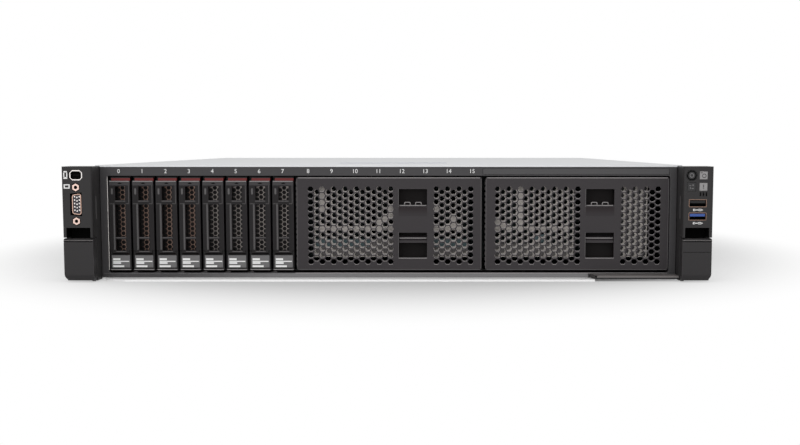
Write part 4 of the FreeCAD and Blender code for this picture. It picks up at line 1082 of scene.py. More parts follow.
    def _marks(self) -> None:
        """Lays the lighter cap with its black arrow and the light lens on the lever; the lens's light grey
        is partly a painted highlight.
        """
        x, y, z = spans_of(self.lever)
        cap = Piece()
        cap.block(inset(x, 0.4), offset(y[0], -0.05, 0.2), offset(z[1], *self.cap))
        self._on_lever(cap, "lever_cap", Finishes.CAP)
        middle = (x[0] + self.left_pillar + x[1] - self.right_pillar) / 2
        low, high = offset(z[1], -2.3, -1.2)
        foot, head = self.arrow
        outline = [(middle - foot, low), (middle + foot, low), (middle + head, high), (middle - head, high)]
        arrow = Piece()
        arrow.prism(outline, offset(y[0], -0.09, 0.1))
        self._on_lever(arrow, "lever_arrow", Finishes.VOID)
        outline = Outline.rounded(spread(x[0] + self.lens_inset, 1.4), offset(z[1], *self.lens), 0.6)
        lens = Piece()
        lens.prism(outline, offset(y[0], -0.12, 0.2), 0.1)
        self._on_lever(lens, "lever_lens", Finishes.SEAM)

    def _label(self) -> None:
        """Covers the foot with a grey plate, prints plain bars on it and lays a painted highlight on the
        ledge below.
        """
        x, y, z = spans_of(self.tray)
        height = offset(z[0], *self.label)
        plate = Piece()
        plate.block(inset(x, self.label_inset), offset(y[0], -0.25, 0.1), height, 0.15)
        self._on_tray(plate, "label_plate", Finishes.LABEL)
        bars = Piece()
        for drop, thick, length in self.label_bars:
            span = offset(x[0] + 2.0, 0.0, length)
            bars.block(span, offset(y[0], -0.28, -0.2), spread(height[1] - drop, thick))
        self._on_tray(bars, "label_rules", Finishes.PRINT)
        ledge = Piece()
        ledge.block((x[0] + 0.3, x[1] - 0.6), offset(y[0], -0.2, 0.4), offset(z[0], *self.ledge), 0.1)
        self._on_tray(ledge, "tray_ledge", Finishes.RIM)


@dataclass(frozen=True)
class SheetRib:
    """A rib along the back of a filler's inner sheet."""

    row: float  # of holes that its middle lies at
    height: float  # in rows
    reach: Span  # its two ends, from the filler's left edge
    finish: Finish


@dataclass
class Filler:
    """One eight-bay filler: a perforated face with two finger notches."""

    name: str
    pitch: float = 5.01  # of the holes in a column
    web: float = 0.95  # between holes
    column_step: float = 4.335
    wall: float = 1.2  # thickness of the face
    corner: float = 1.2
    left_columns: int = 15  # left of the notches
    right_columns: int = 7  # right of them
    rows: int = 12  # in a long column
    left_inset: float = 11.2  # of the first column, from the left edge
    right_inset: float = 106.6  # of the first column right of the notches
    top_inset: float = 8.95  # of the first row
    notch_left: float = 78.0  # from the left edge
    notch_width: float = 21.6
    notch_depth: float = 11.0
    notch_wall: float = 0.9
    upper_drop: float = 8.85  # of the upper notch, from the top
    upper_height: float = 19.9
    upper_sill: float = 6.3  # height of the face before it
    lower_rise: float = 9.3  # of the lower notch, from the bottom
    lower_height: float = 19.2
    fingers: int = 16
    finger_pitch: float = 4.1
    finger_size: Point2 = (0.65, 2.6)  # how far it stands out, and its height
    finger_depth: Span = (0.6, 8.0)  # behind the front
    rim_out: float = 0.14  # of a hole's painted highlight rim, over the face
    rim_in: float = 0.24  # into the hole
    rim_share: float = 0.7  # of the slanted edges that it takes in
    side_inset: float = 0.7  # of the face's left edge
    sheet_inset: float = 12.6  # of the inner sheet, behind the front
    sheet_hole: float = 2.05  # corner radius of its holes
    sheet_margin: float = 0.5  # beside its holes
    sheet_foot: float = 10.43  # row that its lower edge lies at
    sheet_left: tuple[int, int] = (1, 14)  # first and last column that it covers
    sheet_right: tuple[int, int] = (0, 5)
    closed_left: frozenset[tuple[int, int]] = frozenset()  # columns and rows where it has no hole
    closed_right: frozenset[tuple[int, int]] = frozenset()
    ribs: tuple[SheetRib, ...] = ()
    rib_depth: float = 0.6  # also the sheet's thickness

    @property
    def node(self) -> str:
        """Returns the name of the filler's node and body."""
        return f"filler_{self.name}"

    @property
    def radius(self) -> float:
        """Returns the corner radius of the holes."""
        return (self.pitch - self.web) / math.sqrt(3)

    def build(self) -> None:
        """Replaces the filler by its fine face and dresses its tabs."""
        self._face()
        self._hole_rims()
        self._inner_sheet()
        self._sheet_ribs()
        self._edges()
        self._pockets()
        self._tabs()
        self._sill()
        self._fingers()

    def _place(self, work: Piece, name: str, finish: Finish) -> bpy.types.Object:
        """Places a piece on the filler, with the filler's name added, and returns the object."""
        return work.place(f"{name}_{self.name}", finish, "filler_plastic", self.node)

    def _spot(self, block_inset: float, column: int, row: int) -> Point2:
        """Returns the middle of a hole.

        Args:
            block_inset: Distance of the block's first column from the left edge.
            column: The hole's column.
            row: The hole's row, half a pitch lower in odd columns.

        Returns:
            Its X and Z.
        """
        x, _, z = spans_of(self.node)
        height = z[1] - self.top_inset - (row + column % 2 / 2) * self.pitch
        return x[0] + block_inset + column * self.column_step, height

    def _spots(self) -> list[Point2]:
        """Returns the middles of all holes, the left block first."""
        blocks = ((self.left_inset, self.left_columns), (self.right_inset, self.right_columns))
        return [
            self._spot(block_inset, column, row)
            for block_inset, columns in blocks
            for column in range(columns)
            for row in range(self.rows - column % 2)
        ]

    def _face_spans(self) -> tuple[Span, Span, Span]:
        """Returns the spans of the face, which stands in a little at the left."""
        x, y, z = spans_of(self.node)
        return (x[0] + self.side_inset, x[1]), y, z

    def _notches(self) -> tuple[Span, Span, Span]:
        """Returns the notches' X span and the Z spans of the lower and the upper one."""
        x, _, z = spans_of(self.node)
        across = offset(x[0] + self.notch_left, 0.0, self.notch_width)
        lower = offset(z[0] + self.lower_rise, 0.0, self.lower_height)
        return across, lower, offset(z[1] - self.upper_drop, -self.upper_height, 0.0)

    def _openings(self) -> tuple[Span, Span]:
        """Returns the Z spans of the notches' mouths in the face, the lower one first."""
        _, lower, upper = self._notches()
        return lower, (upper[0] + self.upper_sill, upper[1])

    def _face(self) -> None:
        """Builds the perforated face and its rim."""
        x, y, z = self._face_spans()
        holes = [Outline.ring(spot, self.radius, 6) for spot in self._spots()]
        holes += [Outline.rounded(self._notches()[0], span, 0.5, 2) for span in self._openings()]
        work = Piece()
        work.perforated(Outline.rounded(x, z, self.corner, 3), holes, offset(y[0], 0.0, self.wall))
        behind = (y[0] + self.wall, y[1])
        for span in ends(x, self.wall):
            work.block(span, behind, inset(z, self.wall))
        for span in ends(z, self.wall):
            work.block(inset(x, self.wall), behind, span)
        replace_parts(self._place(work, "filler_face", Finishes.FILLER), self.node)

    def _hole_rims(self) -> None:
        """Paints a highlight on the lower rim of every hole, as a thin crescent."""
        front = spans_of(self.node)[1][0]
        work = Piece()
        for spot in self._spots():
            right, _, _, left, low_left, low_right = Outline.ring(spot, self.radius + self.rim_out, 6)
            inner = Outline.ring(spot, self.radius - self.rim_in, 6)
            tips = [
                tuple(a + self.rim_share * (b - a) for a, b in zip(low, side))
                for low, side in ((low_left, left), (low_right, right))
            ]
            outline = [tips[0], low_left, low_right, tips[1], inner[5], inner[4]]
            work.prism(outline, offset(front, -0.03, 0.4))
        self._place(work, "hole_rims", Finishes.RIM)

    def _inner_sheet(self) -> None:
        """Hangs a pale perforated sheet from the top rim behind each block, in line with its holes."""
        _, y, z = spans_of(self.node)
        foot = z[1] - self.top_inset - self.sheet_foot * self.pitch
        side = self.sheet_hole + self.sheet_margin
        work = Piece()
        blocks = (
            (self.left_inset, self.sheet_left, self.closed_left),
            (self.right_inset, self.sheet_right, self.closed_right),
        )
        for block_inset, (first, last), closed in blocks:
            holes = [
                Outline.ring(self._spot(block_inset, column, row), self.sheet_hole, 6)
                for column in range(first, last + 1)
                for row in range(self.rows - 1 - column % 2)
                if (column, row) not in closed
            ]
            left, right = (self._spot(block_inset, column, 0)[0] for column in (first, last))
            plate = Outline.rectangle(inset((left, right), -side), (foot, z[1] - self.wall))
            work.perforated(plate, holes, offset(y[0] + self.sheet_inset, 0.0, self.rib_depth))
        self._place(work, "inner_sheet", Finishes.PALE)

    def _sheet_ribs(self) -> None:
        """Runs the ribs along the back of the inner sheet."""
        x, y, z = spans_of(self.node)
        depth = offset(y[0] + self.sheet_inset, self.rib_depth, 2 * self.rib_depth)
        for index, rib in enumerate(self.ribs):
            height = spread(z[1] - self.top_inset - rib.row * self.pitch, rib.height * self.pitch)
            work = Piece()
            work.block(offset(x[0], *rib.reach), depth, height, 0.1)
            work.place(f"sheet_rib_{self.name}_{index}", rib.finish, "filler_plastic", self.node)

    def _edges(self) -> None:
        """Lays painted highlights along the top and below the lower notch, and lighter seam lines along the
        other sides and beside the notches, partly a painted highlight.
        """
        x, y, z = self._face_spans()
        across, lower, _ = self._notches()
        depth = offset(y[0], -0.04, 0.3)
        edge = Piece()
        edge.block(inset(x, self.corner), depth, offset(z[1], -0.75, -0.2))
        edge.block(across, depth, offset(lower[0], -0.55, -0.05))
        self._place(edge, "filler_edge", Finishes.RIM)
        seam_highlights = Piece()
        seam_highlights.block(inset(x, self.corner), depth, offset(z[0], 0.2, 0.5))
        for span in ends(inset(x, 0.1), 0.3):
            seam_highlights.block(span, depth, inset(z, self.corner))
        for span in self._openings():
            seam_highlights.block(offset(across[0], -0.35, -0.05), depth, span)
        self._place(seam_highlights, "filler_seam", Finishes.SEAM)

    def _pockets(self) -> None:
        """Lines the notches with open boxes, darker than the filler as painted shade."""
        front = spans_of(self.node)[1][0]
        across, *heights = self._notches()
        wall = self.notch_wall
        outer = inset(across, -wall)
        depth = offset(front, self.wall, self.notch_depth)
        work = Piece()
        for height in heights:
            tall = inset(height, -wall)
            for span in ends(outer, wall):
                work.block(span, depth, tall)
            for span in ends(tall, wall):
                work.block(across, depth, span)
            work.block(outer, offset(depth[1], 0.0, wall), tall)
        self._place(work, "notch_pockets", Finishes.POCKET)

    def _tabs(self) -> None:
        """Dresses the two pinch tabs and lays painted highlights on their lips."""
        for end in ("upper", "lower"):
            tab = f"{self.node}_{end}_tab"
            dress(tab, Finishes.FILLER, 0.4)
            x, y, z = spans_of(tab)
            lip = Piece()
            if end == "upper":
                lip.block(inset(x, 0.4), offset(y[0], -0.05, 0.3), offset(z[1], -0.7, -0.15))
                for share in (0.3, 0.7):
                    self._hoop(lip, x[0] + share * (x[1] - x[0]), y[0] + 1.0, z[1])
            else:
                lip.block(inset(x, 0.2), offset(y[0], 1.5, 3.0), offset(z[1], -1.95, -1.25))
            lip.place(f"tab_lip_{self.name}_{end}", Finishes.RIM, "filler_plastic", tab)

    @staticmethod
    def _hoop(work: Piece, x: float, y: float, z: float) -> None:
        """Adds a small open hoop that stands on a tab, in the painted highlight's colour.

        Args:
            work: The piece that it belongs to.
            x: Its middle.
            y: Its front.
            z: The tab's top.
        """
        outer = Outline.rounded(spread(x, 4.8), offset(z, -1.2, 2.2), 0.9, 3)
        inner = Outline.rounded(spread(x, 3.8), offset(z, -0.9, 1.7), 0.6, 3)
        work.perforated(outer, [inner], offset(y, 0.0, 1.5))

    def _sill(self) -> None:
        """Lays a painted shadow below the upper notch's mouth: a plate darkest at the top that fades into
        the face.
        """
        front = spans_of(self.node)[1][0]
        across, _, upper = self._notches()
        work = Piece()
        outline = Outline.rounded(across, offset(upper[0], -0.6, self.upper_sill), 0.8)
        work.prism(outline, offset(front, -0.04, 0.4))
        self._place(work, "notch_sill", Finishes.SILL)

    def _fingers(self) -> None:
        """Puts a column of small dark spring fingers on the left side."""
        x, y, z = self._face_spans()
        out, tall = self.finger_size
        first = sum(z) / 2 - (self.fingers - 1) / 2 * self.finger_pitch
        work = Piece()
        for index in range(self.fingers):
            height = spread(first + index * self.finger_pitch, tall)
            outline = Outline.rounded((x[0] - out, x[0]), height, 0.3, 2)
            work.prism(outline, offset(y[0], *self.finger_depth), 0.1)
        self._place(work, "spring_fingers", Finishes.FINGER)


@dataclass
class Ear:
    """One rack ear: housing, lever and the black lining of its finger recess, which is painted shade."""

    side: Side
    recess_outer: float = 2.5
    recess_inner: float = 2.0
    recess_height: float = 8.2  # above the lever
    recess_depth: float = 18.0
    recess_behind: float = 6.0  # how far it reaches down behind the lever
    lining: float = 0.15  # thickness
    lip: Span = (-2.1, -1.2)  # foot and top of its painted highlight line, from the lever's top
    rib_width: float = 0.2
    rib_depth: Span = (10.5, 13.0)  # behind the front
    rib_height: Span = (46.8, 63.8)

    @property
    def name(self) -> str:
        """Returns the side's name as the nodes use it."""
        return self.side.name.lower()

    @property
    def front(self) -> float:
        """Returns the Y of the ear's front face."""
        return spans_of(f"{self.name}_ear")[1][0]

    @property
    def top(self) -> float:
        """Returns the Z of the ear's top."""
        return spans_of(f"{self.name}_ear")[2][1]

    def build(self) -> None:
        """Dresses the housing and lever and lines the recess in black as painted shade."""
        dress(f"{self.name}_ear", Finishes.EAR, 0.4)
        dress(f"{self.name}_ear_lever", Finishes.EAR_LEVER, 0.5)
        self._line_recess()
        self._lever_line()
        self._rib()

    def _lever_line(self) -> None:
        """Lays a painted highlight line along the lever's pull lip."""
        lever = f"{self.name}_ear_lever"
        x, y, z = spans_of(lever)
        work = Piece()
        work.block(inset(x, 0.3), offset(y[0], 0.0, 0.8), offset(z[1], *self.lip))
        work.place(f"lever_line_{self.name}", Finishes.RIM, "ear_plastic", lever)

    def _rib(self) -> None:
        """Stands a slim rib on the ear's inner side, lighter than the ear as a painted highlight."""
        x, y, _ = spans_of(f"{self.name}_ear")
        inner = x[1] if self.side is Side.LEFT else x[0]
        work = Piece()
        work.block(spread(inner, self.rib_width), offset(y[0], *self.rib_depth), self.rib_height, 0.03)
        work.place(f"ear_rib_{self.name}", Finishes.SEAM, "ear_plastic")

    def _line_recess(self) -> None:
        """Lines the finger recess in black: painted shade."""
        x, y, _ = spans_of(f"{self.name}_ear")
        top = spans_of(f"{self.name}_ear_lever")[2][1]
        insets = (self.recess_outer, self.recess_inner)
        left, right = insets if self.side is Side.LEFT else insets[::-1]
        across = (x[0] + left, x[1] - right)
        height = offset(top, -self.recess_behind, self.recess_height)
        deep = offset(y[0], 1.0, self.recess_depth)
        work = Piece()
        work.block(across, ends(deep, self.lining)[1], height)
        work.block(across, deep, ends(height, self.lining)[1])
        for span in ends(across, self.lining):
            work.block(span, deep, (top + 0.9, height[1]))
        work.place(f"recess_lining_{self.name}", Finishes.VOID, "ear_plastic")

    @property
    def print_depth(self) -> Span:
        """Returns the front and back of print on the ear's front face."""
        return offset(self.front, -0.004, 0.06)


@dataclass
class LeftEar(Ear):
    """The left ear with its video and diagnostic sockets."""

    side: Side = Side.LEFT
    video_shift: float = 0.5  # from the sockets' middle
    video_drop: float = 27.8  # below the top
    video_width: float = 6.7
    video_height: float = 15.8
    video_corner: float = 1.7
    video_slant: float = 0.11  # share by which the outer side is shorter
    video_wall: float = 0.55
    contact_step: Point2 = (1.75, 2.5)  # across and up
    contact_radius: float = 0.62
    jack_spacing: float = 25.0
    jack_radius: float = 2.8  # over corners
    jack_bore: float = 1.35  # radius
    diagnostic_shift: float = 0.4  # from the sockets' middle
    diagnostic_drop: float = 6.4  # below the top
    diagnostic_width: float = 9.4
    diagnostic_height: float = 7.5
    diagnostic_wall: float = 0.75
    diagnostic_depth: float = 5.0
    socket_depth: float = 6.0
    screen: Point2 = (3.8, 14.6)  # right of the left edge and below the top
    screen_bars: Bars = (
        (0.0, 1.2, 4.4, 0.8), (0.0, -1.2, 4.4, 0.8), (-1.8, 0.0, 0.9, 1.6), (1.8, 0.0, 0.9, 1.6),
    )
    service: Point2 = (3.0, 6.2)  # the same for the service sign
    service_bars: Bars = (
        (0.0, 2.4, 2.4, 1.0), (0.0, -2.2, 2.8, 1.3), (-1.1, 0.0, 0.8, 3.6), (1.1, 0.0, 0.8, 3.6),
    )

    def build(self) -> None:
        """Builds the ear, then its sockets and pictograms."""
        super().build()
        self._video()
        self._jacks()
        self._diagnostic()
        self._pictograms()

    @property
    def port_x(self) -> float:
        """Returns the X of the sockets' middle."""
        return sum(spans_of("left_ports")[0]) / 2

    @property
    def video(self) -> Point2:
        """Returns the video socket's middle."""
        return self.port_x + self.video_shift, self.top - self.video_drop

    @property
    def diagnostic(self) -> Point2:
        """Returns the diagnostic socket's middle."""
        return self.port_x + self.diagnostic_shift, self.top - self.diagnostic_drop

    def _shell_outline(self, grow: float) -> list[Point2]:
        """Returns the video shell's outline, longer on its inner side.

        Args:
            grow: How far it stands outside the shell's own outline.

        Returns:
            The corners in order.
        """
        middle = self.video[1]
        x, z = Outline.around(self.video, self.video_width + 2 * grow, self.video_height + 2 * grow)
        corners_of_shell = []
        for px, pz in Outline.rounded(x, z, self.video_corner + grow, 4):
            share = 1 - self.video_slant * (x[1] - px) / (x[1] - x[0])
            corners_of_shell.append((px, middle + (pz - middle) * share))
        return corners_of_shell

    def _video(self) -> None:
        """Builds the video socket: shell, insert with holes and a dark well."""
        front = self.front + 0.15
        wall = self.video_wall
        shell = Piece()
        deep = offset(front, 0.0, self.socket_depth)
        shell.perforated(self._shell_outline(0.0), [self._shell_outline(-wall)], deep)
        piece = shell.place("video_shell", Finishes.COPPER, "port_metal")
        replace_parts(piece, "left_ports")
        well = Piece()
        well.prism(self._shell_outline(0.9), offset(deep[1], 0.0, 0.4))
        well.place("video_well", Finishes.VOID, "port_metal")
        centre, (across, up) = self.video, self.contact_step
        holes = []
        for column in (-1, 0, 1):
            for row in range(5):
                height = centre[1] + (row - 2 + 0.25 * (column % 2)) * up
                holes.append(Outline.ring((centre[0] + column * across, height), self.contact_radius, 8))
        insert = Piece()
        insert.perforated(self._shell_outline(-wall - 0.05), holes, offset(front, 0.9, 2.4))
        insert.place("video_insert", Finishes.INSERT, "port_metal")
        contacts = Piece()
        for hole in holes:
            contacts.prism(hole, offset(front, 1.2, 2.4))
        contacts.place("video_contacts", Finishes.STEEL, "port_metal")

    def _jacks(self) -> None:
        """Builds the two hexagonal jack screws with their threaded bores."""
        work = Piece()
        for height in spread(self.top - self.video_drop, self.jack_spacing):
            centre = (self.port_x, height)
            screw = Outline.ring(centre, self.jack_radius, 6, 30)
            work.perforated(screw, [Outline.ring(centre, self.jack_bore, 12)], offset(self.front, 0.1, 4.1))
        work.place("jack_screws", Finishes.JACK, "port_metal")

    def _octagon(self, grow: float) -> list[Point2]:
        """Returns the corners of the diagnostic socket's outline, grown by a margin."""
        width, height = self.diagnostic_width + 2 * grow, self.diagnostic_height + 2 * grow
        return Outline.rounded(*Outline.around(self.diagnostic, width, height), 2.0 + grow, 1)

    def _diagnostic(self) -> None:
        """Builds the diagnostic socket: a thin bright rim and a dark well with a tongue."""
        front = self.front + 0.1
        floor = front + self.diagnostic_depth - 0.4
        mouth = self._octagon(-self.diagnostic_wall)
        rim = Piece()
        rim.perforated(self._octagon(0.0), [mouth], offset(front, 0.0, self.diagnostic_depth))
        rim.place("diagnostic_rim", Finishes.STEEL, "port_metal")
        well = Piece()
        well.prism(mouth, offset(floor, 0.0, 0.4))
        x, z = Outline.around(self.diagnostic, 5.0, 1.4)
        well.block(x, (front + 1.5, floor), z, 0.2)
        well.place("diagnostic_well", Finishes.VOID, "port_metal")

    def _pictograms(self) -> None:
        """Prints a plain screen sign and a plain service sign beside the sockets."""
        left = spans_of("left_ear")[0][0]
        work = Piece()
        for (across, drop), bars in ((self.screen, self.screen_bars), (self.service, self.service_bars)):
            work.bars((left + across, self.top - drop), bars, self.print_depth)
        work.place("left_pictograms", Finishes.PRINT, "ear_plastic")


@dataclass
class RightEar(Ear):
    """The right ear with its buttons, lights and two serial bus sockets."""

    side: Side = Side.RIGHT
    button_inset: float = 6.2  # from the inner edge
    light_inset: float = 15.0
    socket_inset: float = 11.0
    power_drop: float = 6.5  # of the upper row, below the top
    row_step: float = 8.4  # down to the lower row
    socket_drop: float = 27.0  # of the upper socket, below the top
    socket_step: float = 9.8  # down to the lower socket
    socket_width: float = 13.1
    socket_height: float = 5.7
    socket_wall: float = 0.35
    socket_depth: Span = (11.0, 8.0)  # of the shell and of its dark well
    tongue_height: float = 2.0
    light_size: float = 5.9
    power_rings: tuple[Span, Span] = ((3.7, 2.6), (1.6, 1.15))  # outer and inner radius, the dark ring first
    ring_mark: Span = (1.6, 1.1)  # outer and inner radius
    upper_bars: Bars = ((-1.6, 1.9, 1.6, 0.5),)
    lower_bars: Bars = ((0.0, 0.6, 0.6, 2.2), (0.0, -1.3, 0.6, 0.6))
    id_bars: Bars = (
        (-1.0, 0.9, 1.3, 0.5), (1.1, 1.2, 0.9, 0.9), (-0.9, -0.9, 0.5, 1.3), (0.8, -1.2, 1.5, 0.5),
    )
    bus_bars: Bars = ((0.0, 0.0, 6.6, 0.6), (-3.2, 0.0, 1.5, 1.5), (1.2, 0.0, 2.4, 1.5))
    rule_drop: float = 10.2  # below the lever's top

    def build(self) -> None:
        """Builds the ear, then its buttons, lights and sockets."""
        super().build()
        dress("power_button", Finishes.BUTTON, 0.4)
        dress("id_button", Finishes.BUTTON, 0.3)
        self._power_ring()
        self._lights()
        self._marks()
        for row, finish in enumerate((Finishes.BLACK, Finishes.BLUE)):
            self._socket(row, finish)
        self._rule()

    def _spot(self, across: float, row: int) -> Point2:
        """Returns X and Z of a spot at a distance from the inner edge, in the upper row 0 or the lower 1."""
        return spans_of("right_ear")[0][0] + across, self.top - self.power_drop - row * self.row_step

    def _power_ring(self) -> None:
        """Lays a dark ring and a lighter one on the power button."""
        centre = self._spot(self.button_inset, 0)
        depth = offset(spans_of("power_button")[1][0], -0.12, 0.2)
        names = (("power_ring", Finishes.VOID, 32), ("power_cap", Finishes.LABEL, 24))
        for (name, finish, sides), (outer, inner) in zip(names, self.power_rings):
            work = Piece()
            work.perforated(Outline.ring(centre, outer, sides), [Outline.ring(centre, inner, sides)], depth)
            work.place(name, finish, "button_plastic", "power_button")

    def _lights(self) -> None:
        """Builds the two pale light blocks."""
        work = Piece()
        for row in range(2):
            x, z = Outline.around(self._spot(self.light_inset, row), self.light_size, self.light_size)
            work.block(x, offset(self.front, 0.2, 5.0), z, 0.3)
        work.place("light_blocks", Finishes.LIGHT, "port_metal")

    def _marks(self) -> None:
        """Puts plain marks on the lights and on the identification button."""
        upper, lower = (self._spot(self.light_inset, row) for row in range(2))
        depth = offset(self.front, 0.14, 0.3)
        work = Piece()
        spot = (upper[0] + 0.4, upper[1] - 0.3)
        outer, inner = (Outline.ring(spot, radius, 20) for radius in self.ring_mark)
        work.perforated(outer, [inner], depth)
        work.bars(upper, self.upper_bars, depth)
        work.bars(lower, self.lower_bars, depth)
        work.place("light_marks", Finishes.BUTTON, "port_metal")
        work = Piece()
        depth = offset(spans_of("id_button")[1][0], -0.05, 0.1)
        work.bars(self._spot(self.button_inset, 1), self.id_bars, depth)
        work.place("id_marks", Finishes.LABEL, "button_plastic", "id_button")

    def _socket(self, row: int, finish: Finish) -> None:
        """Builds one serial bus socket: rim, dark well, tongue and printed sign.

        Args:
            row: 0 for the upper socket, 1 for the lower.
            finish: Finish of its tongue.
        """
        middle = self._spot(self.socket_inset, 0)[0]
        centre = (middle, self.top - self.socket_drop - row * self.socket_step)
        front = self.front + 0.15
        x, z = Outline.around(centre, self.socket_width, self.socket_height)
        inner_x, inner_z = inset(x, self.socket_wall), inset(z, self.socket_wall)
        depth, well_depth = self.socket_depth
        rim = Piece()
        mouth = Outline.rounded(inner_x, inner_z, 0.3, 2)
        rim.perforated(Outline.rounded(x, z, 0.5, 2), [mouth], offset(front, 0.0, depth))
        piece = rim.place(f"bus_rim_{row}", Finishes.BRONZE, "port_metal")
        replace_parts(piece, "right_ports")
        well = Piece()
        well.block(inner_x, offset(front + well_depth, 0.0, 0.5), inner_z)
        well.place(f"bus_well_{row}", Finishes.VOID, "port_metal")
        tongue = Piece()
        height = offset(inner_z[1] - 0.5, -self.tongue_height, 0.0)
        tongue.block(inset(inner_x, 0.6), offset(front, 0.6, well_depth), height, 0.15)
        tongue.place(f"bus_tongue_{row}", finish, "port_metal")
        sign = Piece()
        sign.bars((middle + 0.6, z[0] - 2.1), self.bus_bars, self.print_depth)
        sign.place(f"bus_mark_{row}", Finishes.PRINT, "ear_plastic")

    def _rule(self) -> None:
        """Draws the hairline across the right lever."""
        x, y, z = spans_of("right_ear_lever")
        work = Piece()
        work.block(inset(x, 0.8), offset(y[0], 0.0, 0.05), offset(z[1] - self.rule_drop, 0.0, 0.3))
        work.place("lever_rule", Finishes.LABEL, "ear_plastic", "right_ear_lever")


@dataclass
class Inside:
    """What shows through the holes and under the lifted cover."""

    fans: int = 4
    sink_middles: Span = (-105.0, 105.0)  # X
    sink_width: float = 80.0
    sink_base: float = 6.0
    cad_fins: int = 7  # of a heat sink in the CAD
    fin: float = 0.6
    fine_fins: int = 3  # between two of those
    card_width: float = 104.0
    card_step: float = 118.0
    ridges: int = 9  # along the top of a card
    ridge_width: float = 4.0
    chips: tuple[tuple[float, float, float, float, float], ...] = (  # X, Y, width, length and height
        (40, 120, 24, 24, 3), (90, 130, 30, 30, 9), (40, 190, 16, 20, 2), (100, 210, 18, 12, 2),
        (60, 260, 22, 22, 3), (110, 290, 14, 14, 2), (40, 320, 12, 30, 2), (-160, 80, 20, 14, 3),
    )
    coils: int = 8  # before each heat sink
    coil_step: float = 9.0
    coil_size: float = 7.0
    coil_front: float = 62.0
    cell: Point2 = (85.0, 330.0)
    cell_radius: float = 10.0

    def build(self) -> None:
        """Dresses the boards, fans, sinks, memory and cards, and adds their fine parts."""
        dress("backplane", Finishes.BACKPLANE, 0.0)
        dress("system_board", Finishes.BOARD, 0.0)
        dress("riser_boards", Finishes.BOARD, 0.0)
        dress("memory_modules", Finishes.MEMORY, 0.0)
        dress("heat_sinks", Finishes.SINK, 0.0)
        dress("accelerator_cards", Finishes.CARD, 0.3)
        dress("fan_wall", Finishes.FAN, 0.0)
        for index in range(self.fans):
            dress(f"fan_rotor_{index}", Finishes.ROTOR, 0.0)
        self._fins()
        self._ridges()
        self._chips()

    def _fins(self) -> None:
        """Fills the heat sinks with fine fins between the CAD's."""
        _, y, z = spans_of("heat_sinks")
        step = (self.sink_width - 2) / (self.cad_fins - 1)
        height = (z[0] + self.sink_base, z[1] - 0.5)
        work = Piece()
        for middle in self.sink_middles:
            first = middle - self.sink_width / 2 + 1
            for gap in range(self.cad_fins - 1):
                for index in range(1, self.fine_fins + 1):
                    x = first + (gap + index / (self.fine_fins + 1)) * step
                    work.block(spread(x, self.fin), inset(y, 1.0), height)
        work.place("fine_fins", Finishes.SINK, "sink_aluminium")

    def _ridges(self) -> None:
        """Runs ridges along the top of each accelerator card and adds its power sockets."""
        x, y, z = spans_of("accelerator_cards")
        ridges, plugs = Piece(), Piece()
        for card in range(2):
            left = x[0] + card * self.card_step
            for index in range(self.ridges):
                middle = left + (index + 1) / (self.ridges + 1) * self.card_width
                ridges.block(spread(middle, self.ridge_width), inset(y, 12.0), offset(z[1], -0.2, 0.8), 0.3)
            plugs.block(offset(left, 12.0, 34.0), offset(y[0], -9.0, 0.0), offset(z[1], -22.0, -10.0), 0.4)
        ridges.place("card_ridges", Finishes.CARD, "card_metal")
        plugs.place("card_plugs", Finishes.CHIP, "card_metal")

    def _chips(self) -> None:
        """Sets chips, coils and a cell on the free part of the system board."""
        top = spans_of("memory_modules")[2][0]
        chips, coils, cell = Piece(), Piece(), Piece()
        for x, y, width, length, height in self.chips:
            chips.block((x, x + width), (y, y + length), (top, top + height), 0.3)
        depth = offset(self.coil_front, 0.0, self.coil_size)
        for middle in self.sink_middles:
            for index in range(self.coils):
                x = middle + (index - (self.coils - 1) / 2) * self.coil_step
                coils.block(spread(x, self.coil_size), depth, offset(top, 0.0, 6.0), 0.6)
        cell.slab(Outline.ring(self.cell, self.cell_radius, 32), [], offset(top, 0.0, 3.2))
        chips.place("board_chips", Finishes.CHIP, "board_green")
        coils.place("board_coils", Finishes.INSERT, "board_green")
        cell.place("board_cell", Finishes.STEEL, "board_green")


